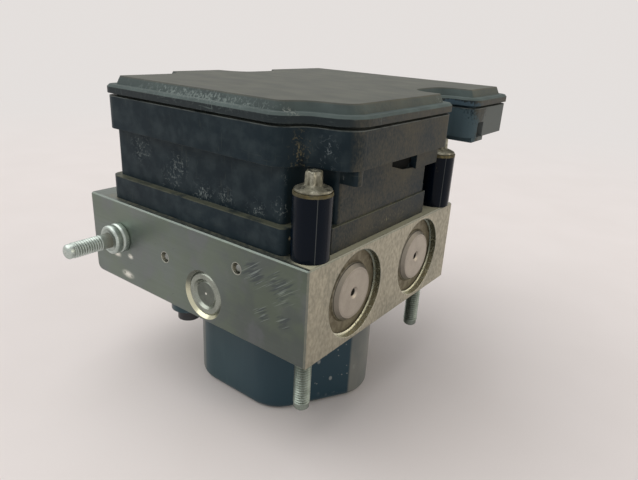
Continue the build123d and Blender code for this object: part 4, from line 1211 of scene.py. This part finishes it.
@dataclass
class ValveBlock:
    """The machined block, with its pressed-in balls and valve bodies."""

    front: float = -49.5
    back: float = 49.5
    left: float = -66.5
    right: float = 46.5
    top: float = 73.0
    plug_height: float = 49.3
    cover_axis: tuple[float, float] = (22.3, 56.0)

    def on_front(self, *spots: tuple[float, float, float, float]) -> tuple[tuple[Triple, Triple], ...]:
        """Places spots on the front face, each by its X, its Z and its reach along both."""
        return tuple(((x, self.front, z), (wide, 2.0, high)) for x, z, wide, high in spots)

    def build(self, frame: Frame) -> None:
        """Dresses the block.

        Args:
            frame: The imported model.
        """
        aluminium = MachinedAluminium(
            "milled_aluminium",
            # the ends lighter and warmer than the sides as painted warm light
            side=(0.2, 0.235, 0.217),
            end=(0.46, 0.43, 0.34),
            smudge=(0.03, 0.042, 0.05),
            roughness=0.38,
            smudges=self.on_front(
                (25.0, 65.5, 10.0, 8.0), (36.0, 64.0, 9.0, 9.0), (28.7, 52.3, 5.5, 5.5), (37.5, 53.1, 5.5, 4.5)
            ),
            # painted glints on the front face
            glints=self.on_front((-51.3, 50.2, 3.4, 1.9), (-42.3, 51.5, 2.4, 1.5), (-44.9, 43.0, 5.0, 2.2)),
            seam=(
                (self.left + 8, self.front + 1.5, self.top - 0.6),
                (self.right - 0.5, self.back - 1, self.top + 0.6),
            ),
            plug_height=self.plug_height,
            mouth=9.3,
            cover_axis=self.cover_axis,
            recess=15.8,
            # painted highlights round two small bores' rims
            rims=((-20.5, 57.7, 2.0), (16.7, 64.8, 2.0)),
        )
        ball = WorkedMetal("ball_steel", (0.3, 0.32, 0.31), (0.16, 0.17, 0.16), 0.28, 0.3, stained=0.3)
        turned = WorkedMetal("valve_steel", (0.5, 0.5, 0.5), (0.3, 0.3, 0.28), 0.3, 0.25, (1, 1, 0.3))
        needle = WorkedMetal("plunger_steel", (0.55, 0.55, 0.55), (0.33, 0.33, 0.32), 0.24, 0.2, (1, 1, 6))
        frame.dress(aluminium, "valve_block")
        frame.dress(ball, "passage_balls")
        frame.dress(turned, "inlet_valve_bodies", "outlet_valve_bodies")
        frame.dress(needle, *(f"{row}_plunger_{n}" for row in ("inlet", "outlet") for n in range(1, 5)))


@dataclass
class MountingStuds:
    """The side stud with its shoulder and the two bottom studs, with rolled threads."""

    side_origin: Triple = (-47.5, -49.5, 58.5)
    bottom_places: tuple[tuple[float, float], ...] = ((38.5, -39.6), (38.5, 39.6))
    bottom_height: float = 39.0
    seat_radius: float = 3.4
    radius: float = 3.0
    thread_depth: float = 0.5
    pitch: float = 1.0
    tip: float = 0.8
    side_seat: float = 9.9
    side_reach: float = 23.3
    bottom_seat: float = 11.9
    bottom_reach: float = 24.0
    neck: float = 4.0
    point: float = 3.0
    shoulder: tuple[tuple[float, float], ...] = (
        *((0.02, 5.6), (0.3, 5.84), (0.6, 5.9), (1.85, 5.9), (2.15, 5.8), (2.45, 5.45), (2.7, 5.35), (2.95, 5.45)),
        *((3.2, 5.68), (3.45, 5.75), (4.7, 5.75), (5.15, 5.62), (5.5, 5.3), (5.65, 5.0), (5.65, 4.6), (5.5, 4.4)),
        *((5.4, 3.6), (5.45, 3.1)),
    )

    def stud(self, seat: float, reach: float, shoulder: Sequence[tuple[float, float]] = ()) -> TurnedMesh:
        """Turns one stud.

        Args:
            seat: How deep it is pressed in.
            reach: How far it stands out.
            shoulder: The height and the radius of each ring of its shoulder, if it has one.

        Returns:
            The stud along +Z, from the face it is pressed into.
        """
        mesh = TurnedMesh(48)
        mesh.add_profile(0.0, (-seat, self.seat_radius), (-0.01, self.seat_radius), *shoulder)
        start = shoulder[-1][0] if shoulder else 0.0
        plain, smooth = self.radius - self.thread_depth * 0.4, self.radius - 0.06
        threaded, pointed = start + self.neck, reach - self.point
        mesh.add_profile(start, (0.01, smooth))
        mesh.add_profile(threaded, (-0.2, smooth), (0.0, self.radius))
        mesh.add_thread(
            Thread(threaded + 0.05, pointed, self.radius, self.thread_depth, self.pitch, self.pitch * 0.6)
        )
        mesh.add_profile(pointed, (0.15, plain))
        mesh.add_profile(reach - self.tip, (-0.3, plain), (0.0, plain - 0.12))
        mesh.add_profile(reach, (-self.tip * 0.5, plain - 0.5), (-self.tip * 0.15, plain - 0.95), (0.0, plain - 1.3))
        return mesh.close()

    def build(self, frame: Frame) -> None:
        """Builds and dresses the studs.

        Args:
            frame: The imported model.
        """
        bright = WorkedMetal(
            "zinc_plate", (0.52, 0.59, 0.555), (0.24, 0.285, 0.265), 0.2, 0.5, stained=0.35, groove_shade=0.8, rubbed=0.0
        )
        # the bottom studs take this darker copy of the zinc, as painted shade under the block
        dull = WorkedMetal(
            "shaded_zinc_plate", (0.3, 0.35, 0.31), (0.12, 0.145, 0.13), 0.22, 0.5, stained=0.4, groove_shade=0.9, rubbed=0.0
        )
        side = self.stud(self.side_seat, self.side_reach, self.shoulder).placed(self.side_origin, (0, -1, 0))
        frame.adopt(piece_from("side_stud_threaded", [side]), bright.build(), Slot.ZINC, "side_stud")
        bottom = self.stud(self.bottom_seat, self.bottom_reach)
        meshes = [bottom.placed((x, y, self.bottom_height), (0, 0, -1)) for x, y in self.bottom_places]
        frame.adopt(piece_from("bottom_studs_threaded", meshes), dull.build(), Slot.ZINC, "bottom_studs")


@dataclass
class UnitScrews:
    """The four flanged screws with six-lobed heads that hold the control unit."""

    places: tuple[tuple[float, float], ...] = ((40.0, -40.8), (41.0, 42.5), (-60.0, -29.0), (-60.0, 33.0))
    seat_height: float = 94.6
    shank_end: float = 62.1
    shank_radius: float = 2.48
    flange_radius: float = 5.85
    head_radius: float = 3.0
    head_top: float = 100.7
    pitch: float = 0.9

    def screw(self) -> TurnedMesh:
        """Turns one screw.

        Returns:
            The screw along +Z, from the tip of its shank.
        """
        mesh = TurnedMesh(60)
        shank, flange, head = self.shank_radius, self.flange_radius, self.head_radius
        mesh.add_profile(0.0, (0.0, shank - 0.7), (0.5, shank))
        mesh.add_thread(Thread(0.55, 10.5, shank, 0.4, self.pitch), 6)
        mesh.add_profile(0.0, (10.8, shank))
        mesh.add_profile(
            self.seat_height - self.shank_end,
            *((0.0, shank), (0.0, flange - 0.35), (0.12, flange - 0.08), (0.4, flange), (0.75, flange - 0.1)),
            *((0.95, flange - 0.45), (1.25, flange - 1.15), (1.75, head + 0.35), (2.0, head, 0.12)),
            (2.2, head - 0.05, 0.2),
        )
        mesh.add_profile(
            self.head_top - self.shank_end,
            *((-0.5, head - 0.2, 0.22), (-0.15, head - 0.4, 0.18), (0.0, head - 0.8, 0.1)),
            *((0.0, 1.3), (-0.3, 0.9), (-0.5, 0.3)),
        )
        return mesh.close()

    def build(self, frame: Frame) -> None:
        """Builds and dresses the screws.

        Args:
            frame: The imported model.
        """
        tones = (0.37, 0.365, 0.295), (0.095, 0.09, 0.06)
        # the head's rubbed edges are brightened further as painted highlights, and its grooves darkened as painted
        # shade
        zinc = WorkedMetal("weathered_zinc", *tones, 0.27, 0.5, stained=0.65, dirt=0.5, groove_shade=1.0, rubbed=1.0)
        # the bush is heavily stained and dirty, and that darkness also stands in as painted shade under the flange
        bush = WorkedMetal("passivated_bush", (0.17, 0.15, 0.08), (0.065, 0.05, 0.022), 0.4, 0.4, stained=0.9, dirt=0.8)
        meshes = [self.screw().placed((x, y, self.shank_end), (0, 0, 1)) for x, y in self.places]
        frame.adopt(piece_from("unit_screws_lobed", meshes, 50.0), zinc.build(), Slot.ZINC, "ecu_screws")
        frame.dress(bush, "ecu_bushes")


@dataclass
class ControlUnit:
    """The moulded control unit with its lid, coils, circuit board and connector."""

    wall_front: float = -43.8
    foot_top: float = 82.0
    collar_top: float = 112.4
    ledge_top: float = 119.2

    def chalk(self) -> tuple[DirtAndShadingPatch, ...]:
        """Places the chalky dust on the front wall, by the X, Z, reach and amount of each spot.

        Returns:
            The patches.
        """
        spots = (
            *((-38.7, 94.5, 9.0, 0.34), (-17.5, 92.1, 8.0, 0.36), (-22.3, 85.5, 8.0, 0.33), (-5.2, 84.0, 8.0, 0.42)),
            *((5.4, 84.8, 6.5, 0.42), (19.7, 84.2, 6.0, 0.34), (31.4, 87.4, 6.5, 0.4), (34.2, 97.4, 6.0, 0.4)),
        )
        pale = (0.2, 0.235, 0.23)
        return tuple(
            DirtAndShadingPatch((x, self.wall_front, z), (reach, 4.0, reach * 0.9), amount, pale, 0.8)
            for x, z, reach, amount in spots
        )

    def dirt(self) -> tuple[DirtAndShadingPatch, ...]:
        """Places the dirt along the foot's ledge, in the collar's scallop and on the right side, with a near-black
        cover down a pillar, lighter bluish covers on the connector end, a painted highlight on the tab and painted
        shade in the hatch.

        Returns:
            The patches.
        """
        moss, brown, blue = (0.13, 0.13, 0.07), (0.14, 0.125, 0.075), (0.135, 0.15, 0.147)
        return (
            DirtAndShadingPatch((-5.0, -46.0, self.foot_top), (70.0, 4.5, 1.5), 0.34, (0.06, 0.065, 0.045)),
            # a near-black cover down the left side of the front right pillar
            DirtAndShadingPatch((34.3, -40.0, 87.0), (3.0, 5.0, 30.0), 1.3, (0.008, 0.012, 0.015)),
            DirtAndShadingPatch((34.0, -43.7, 78.5), (1.2, 2.0, 1.6), 0.6, (0.3, 0.27, 0.18)),
            # a painted highlight on the left edge of the tab under the collar
            DirtAndShadingPatch((44.0, -31.1, 97.5), (2.0, 0.8, 3.0), 0.45, (0.16, 0.18, 0.18)),
            DirtAndShadingPatch((34.0, -40.0, 105.5), (4.5, 6.0, 9.0), 0.42, brown, 1.0),
            DirtAndShadingPatch((41.5, -38.0, 105.5), (5.0, 6.0, 8.0), 0.36, (0.17, 0.2, 0.21), 0.9),
            DirtAndShadingPatch((43.5, 32.0, 91.0), (4.0, 14.0, 9.0), 0.38, brown),
            DirtAndShadingPatch((44.0, 5.0, self.foot_top), (5.0, 46.0, 2.0), 0.42, moss),
            DirtAndShadingPatch((45.0, 0.0, 77.0), (4.0, 60.0, 6.0), 0.46, (0.22, 0.21, 0.14)),
            # lighter bluish covers over the connector end
            DirtAndShadingPatch((44.0, 78.0, 100.0), (24.0, 26.0, 30.0), 2.4, blue),
            DirtAndShadingPatch((37.0, 55.0, 103.0), (22.0, 12.0, 22.0), 1.6, (0.062, 0.095, 0.11)),
            # painted shade filling the hatch
            DirtAndShadingPatch((40.5, 8.2, 97.0), (3.5, 14.0, 8.0), 2.2, (0.006, 0.007, 0.007)),
        )

    def lid(self) -> MouldedPlastic:
        """Mixes the lid's plastic.

        Returns:
            The finish.
        """
        white, grey = (0.5, 0.52, 0.48), (0.3, 0.3, 0.26)
        return MouldedPlastic(
            "lid_plastic",
            (0.015, 0.023, 0.026),
            0.45,
            dust=(0.19, 0.195, 0.165),
            top_dust=0.72,
            top_slope=0.22,
            end_dust_and_light=0.3,
            wear=0.75,
            scuffs=0.55,
            ledge_film=(0.135, 0.175, 0.165),
            upper=self.ledge_top,
            patches=(
                DirtAndShadingPatch((-15.0, 60.0, 119.4), (42.0, 40.0, 2.0), 0.34, grey),
                DirtAndShadingPatch((37.5, -26.5, 116.5), (3.5, 3.5, 3.5), 0.6, white, 1.0),
                DirtAndShadingPatch((31.0, -41.5, 116.8), (5.0, 3.0, 2.5), 0.42, white, 0.8),
                DirtAndShadingPatch((42.0, 28.0, 116.5), (7.0, 16.0, 4.0), 0.5, white, 1.0),
                DirtAndShadingPatch((-5.0, -44.0, 117.0), (70.0, 7.0, 5.0), 0.5, (0.225, 0.27, 0.255), 0.5),
                # a lighter bluish cover over the connector end
                DirtAndShadingPatch((37.0, 55.0, 113.4), (22.0, 12.0, 4.0), 1.5, (0.055, 0.09, 0.115)),
            ),
        )

    def housing(self) -> MouldedPlastic:
        """Mixes the housing's plastic.

        Returns:
            The finish.
        """
        return MouldedPlastic(
            "housing_plastic",
            (0.01, 0.02, 0.027),
            0.36,
            dust=(0.15, 0.155, 0.115),
            top_dust=0.16,
            end_dust_and_light=0.38,
            wear=0.35,
            scuffs=0.14,
            specular=0.1,
            front_film=(0.044, 0.062, 0.068),
            patches=(*self.chalk(), *self.dirt()),
            bands=(
                # a painted highlight along the collar's top edge
                Band(self.collar_top - 0.25, self.collar_top + 0.1, 0.75, (0.15, 0.17, 0.16)),
                Band(self.foot_top - 0.3, self.foot_top + 0.1, 0.6, (0.13, 0.135, 0.09)),
            ),
            pillars=tuple(Gloss(place, 6.35, 95.0) for place in UnitScrews.places),
        )

    def build(self, frame: Frame) -> None:
        """Dresses the unit.

        Args:
            frame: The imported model.
        """
        yoke = WorkedMetal("yoke_steel", (0.5, 0.5, 0.49), (0.3, 0.3, 0.28), 0.32, 0.4, (1, 1, 3))
        tin = WorkedMetal("tinned_brass", (0.72, 0.71, 0.66), (0.45, 0.42, 0.33), 0.24, 0.25, (1, 1, 5), 0.3)
        frame.dress(self.housing(), "ecu_housing")
        frame.dress(self.lid(), "ecu_lid")
        frame.dress(DullSolid("seal_rubber", (0.025, 0.025, 0.026), 0.75, 0.5, 0.02), "ecu_seal", "motor_seal")
        frame.dress(WoundWire("coil_winding", (0.6, 0.27, 0.12), 0.35), "valve_coils")
        frame.dress(yoke, "coil_yokes")
        frame.dress(SolderMask("board_lacquer", (0.012, 0.09, 0.035), (0.03, 0.17, 0.07), 1.5), "circuit_board")
        frame.dress(DullSolid("component_body", (0.03, 0.03, 0.032), 0.5, 0.3, 0.01), "board_parts")
        frame.dress(tin, "connector_pins")


@dataclass
class PumpSet:
    """The two pumps: plugs, sleeves, pistons, springs and the ring that drives them."""

    height: float = 49.3
    plug_middle: float = 4.4
    spring_fixed: float = 41.8
    spring_moving: float = 25.3

    def build(self, frame: Frame) -> None:
        """Dresses the pumps.

        Args:
            frame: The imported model.
        """
        plug = PressedPlug("pressed_plug", (0.3, 0.33, 0.29), (0.15, 0.17, 0.15), self.height, self.plug_middle)
        ground = WorkedMetal("ground_steel", (0.56, 0.56, 0.56), (0.35, 0.35, 0.34), 0.2, 0.25, (1, 6, 1), 0.25)
        bores = (f"pump_{part}_{side}" for part in ("sleeve", "piston") for side in ("front", "rear"))
        frame.dress(plug, "pump_plug_front", "pump_plug_rear")
        frame.dress(ground, *bores, "eccentric_ring")
        fixed, moving = ((0.0, along, self.height) for along in (self.spring_fixed, self.spring_moving))
        springs = CoilSpring("pump", fixed, moving, radius=3.1, wire=0.8, turns=7, stroke=2.4)
        springs.build(frame, WorkedMetal("spring_wire", (0.36, 0.36, 0.38), (0.2, 0.2, 0.2), 0.3, 0.3))


@dataclass
class AccumulatorSet:
    """The two low-pressure accumulators: covers, pistons, seals and springs."""

    axis_place: tuple[float, float] = (22.3, 56.0)
    disc: float = 9.1
    foot: float = 11.0
    spring_fixed: float = 44.5
    spring_moving: float = 21.3

    def build(self, frame: Frame) -> None:
        """Dresses the accumulators.

        Args:
            frame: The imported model.
        """
        tones = (0.42, 0.385, 0.33), (0.2, 0.18, 0.13)
        finishes = {
            "cover": PressedCover("pressed_cover", *tones, self.axis_place, self.disc, self.foot),
            "piston": WorkedMetal(
                "turned_piston", (0.55, 0.55, 0.56), (0.36, 0.36, 0.35), 0.24, 0.25, (5, 1, 1), 0.2
            ),
            "seal": DullSolid("ring_rubber", (0.02, 0.02, 0.021), 0.6, 0.4, 0.01),
        }
        for part, finish in finishes.items():
            frame.dress(finish, f"accumulator_{part}_front", f"accumulator_{part}_rear")
        fixed, moving = ((along, *self.axis_place) for along in (self.spring_fixed, self.spring_moving))
        springs = CoilSpring("accumulator", fixed, moving, radius=8.2, wire=1.6, turns=5, stroke=10.0)
        springs.build(frame, WorkedMetal("accumulator_wire", (0.38, 0.38, 0.4), (0.2, 0.2, 0.2), 0.3, 0.3))


@dataclass
class PumpMotor:
    """The motor under the block, with its rotor, bearing and brush gear."""

    splashes: tuple[Triple, Triple] = ((33.0, -13.0, 16.0), (9.0, 15.0, 17.0))
    winding_wire: float = 0.8

    def build(self, frame: Frame) -> None:
        """Dresses the motor.

        Args:
            frame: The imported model.
        """
        # the paint and its paler haze, which also lightens the bottom as painted light; deep is painted shade towards
        # +X and chalk is painted light on two corners
        tones = (0.018, 0.051, 0.064), (0.07, 0.12, 0.135)
        deep, chalk = (0.009, 0.037, 0.056), (0.195, 0.2, 0.18)
        nowhere = (0.0, 0.0, 0.0), (1.0, 1.0, 1.0)
        metals = {
            "armature_core": ("lamination_steel", (0.4, 0.4, 0.4), (0.22, 0.21, 0.2), 0.34, 0.35, (9, 9, 1), 0.5),
            "commutator": ("commutator_copper", (0.7, 0.36, 0.2), (0.4, 0.18, 0.09), 0.22, 0.25, (1, 1, 0.3), 0.5),
            "rear_bush": ("sintered_bronze", (0.5, 0.34, 0.17), (0.28, 0.18, 0.08), 0.4, 0.25, (1, 1, 1), 0.6),
            "brush_springs": ("brush_wire", (0.42, 0.42, 0.43), (0.25, 0.25, 0.25), 0.28, 0.2),
        }
        shaft = WorkedMetal("shaft_steel", (0.56, 0.56, 0.57), (0.36, 0.36, 0.36), 0.18, 0.2, (1, 1, 0.4), 0.2)
        frame.dress(DippedPaint("motor_paint", *tones, 0.36, self.splashes, deep, chalk), "motor_housing")
        frame.dress(DippedPaint("screw_black", (0.02, 0.023, 0.026), (0.06, 0.065, 0.07), 0.4, nowhere), "motor_screws")
        frame.dress(DullSolid("magnet_ferrite", (0.07, 0.07, 0.072), 0.65, 0.25, 0.02), "motor_magnets")
        frame.dress(WoundWire("armature_wire", (0.62, 0.25, 0.1), self.winding_wire), "armature_windings")
        frame.dress(shaft, "motor_shaft", *(f"bearing_{part}" for part in ("outer_ring", "inner_ring", "balls")))
        for node, values in metals.items():
            frame.dress(WorkedMetal(*values), node)
        frame.dress(MouldedPlastic("brush_holder_plastic", (0.035, 0.034, 0.03), 0.5, top_dust=0.15), "brush_plate")
        frame.dress(DullSolid("brush_carbon", (0.04, 0.04, 0.042), 0.6, 0.2, 0.015, 0.5), "carbon_brushes")
        frame.dress(MouldedPlastic("terminal_plastic", (0.05, 0.047, 0.04), 0.5, top_dust=0.1), "motor_terminals")


@dataclass
class Studio:
    """The pale sheet, the soft lamps and the camera."""

    sheet_reach: float = 12.0
    azimuth: float = 36.19
    elevation: float = 21.12
    roll: float = 3.22
    lens: float = 30.6
    eye: Triple = (133.4, -164.2, 138.8)
    backdrop: Colour = (0.775, 0.74, 0.72)

    def camera(self) -> None:
        """Sets the camera at its viewpoint."""
        around, up = math.radians(self.azimuth), math.radians(self.elevation)
        back = Vector((math.sin(around) * math.cos(up), -math.cos(around) * math.cos(up), math.sin(up)))
        level = Vector((math.cos(around), math.sin(around), 0.0))
        upright = back.cross(level)
        lean = math.radians(self.roll)
        side = math.cos(lean) * level + math.sin(lean) * upright
        head = -math.sin(lean) * level + math.cos(lean) * upright
        data = bpy.data.cameras.new("camera")
        data.lens = self.lens
        data.sensor_width = 36.0
        data.sensor_fit = "HORIZONTAL"
        data.clip_start = 0.005
        camera = new_object("camera", data)
        turn = Matrix((side, head, back)).transposed().to_4x4()
        camera.matrix_world = Matrix.Translation(Vector(self.eye) * MILLIMETRE) @ turn
        bpy.context.scene.camera = camera

    def sun(self, name: str, energy: float, colour: Colour, toward: Triple, spread: float, shadow: bool = True) -> None:
        """Hangs one soft lamp.

        Args:
            name: The lamp's name.
            energy: Its strength.
            colour: Its colour.
            toward: The direction that its light comes from.
            spread: How wide it is, in degrees.
            shadow: Whether it casts shadows.
        """
        data = bpy.data.lights.new(name, "SUN")
        data.energy, data.color, data.use_shadow, data.angle = energy, colour, shadow, math.radians(spread)
        new_object(name, data).rotation_euler = Vector(toward).to_track_quat("Z", "Y").to_euler()

    def sky(self, glow: Colour) -> None:
        """Fills the world with an even light, in front of the backdrop that the camera and shiny surfaces see.

        Args:
            glow: The light that falls on matt surfaces.
        """
        tree = Tree(bpy.data.worlds.new("studio"))
        bpy.context.scene.world = tree.owner
        lights = [tree.out("ShaderNodeBackground", {"Color": tone}) for tone in (glow, self.backdrop)]
        blend = tree.out("ShaderNodeMixShader", dict(enumerate((tree.looked_at(), *lights))))
        tree.add("ShaderNodeOutputWorld", {"Surface": blend})

    def sheet(self) -> None:
        """Lays the sheet under the module."""
        mesh, reach = bpy.data.meshes.new("sheet"), self.sheet_reach
        corners = [(x * reach, y * reach, 0.0) for x, y in ((-1, -1), (1, -1), (1, 1), (-1, 1))]
        mesh.from_pydata(corners, [], [(0, 1, 2, 3)])
        mesh.materials.append(StudioPaper("paper", (0.84, 0.79, 0.775), (0.79, 0.74, 0.72), self.backdrop).build())
        new_object("sheet", mesh)

    def build(self) -> None:
        """Lays the sheet, hangs the lamps and sets the camera."""
        bpy.context.scene.view_settings.view_transform = "Standard"
        self.sheet()
        self.sun("key", 1.75, (1.0, 0.985, 0.965), (-0.5, -0.22, 1.0), 80)
        self.sun("warm_fill", 0.7, (1.0, 0.87, 0.68), (0.9, 0.5, 0.22), 60, shadow=False)
        self.sky((0.42, 0.42, 0.425))
        self.camera()
        LOG.info("built the studio")


def main() -> None:
    """Dresses the module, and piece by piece."""
    logging.basicConfig(level=logging.INFO, format="%(name)s: %(message)s")
    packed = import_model()
    frame = Frame(packed["nodes"])
    Studio().build()
    for assembly in (ValveBlock, MountingStuds, UnitScrews, ControlUnit, PumpSet, AccumulatorSet, PumpMotor):
        assembly().build(frame)
    if frame.bare():
        LOG.warning("no finish on %s", ", ".join(frame.bare()))


if __name__ == "__main__":
    main()
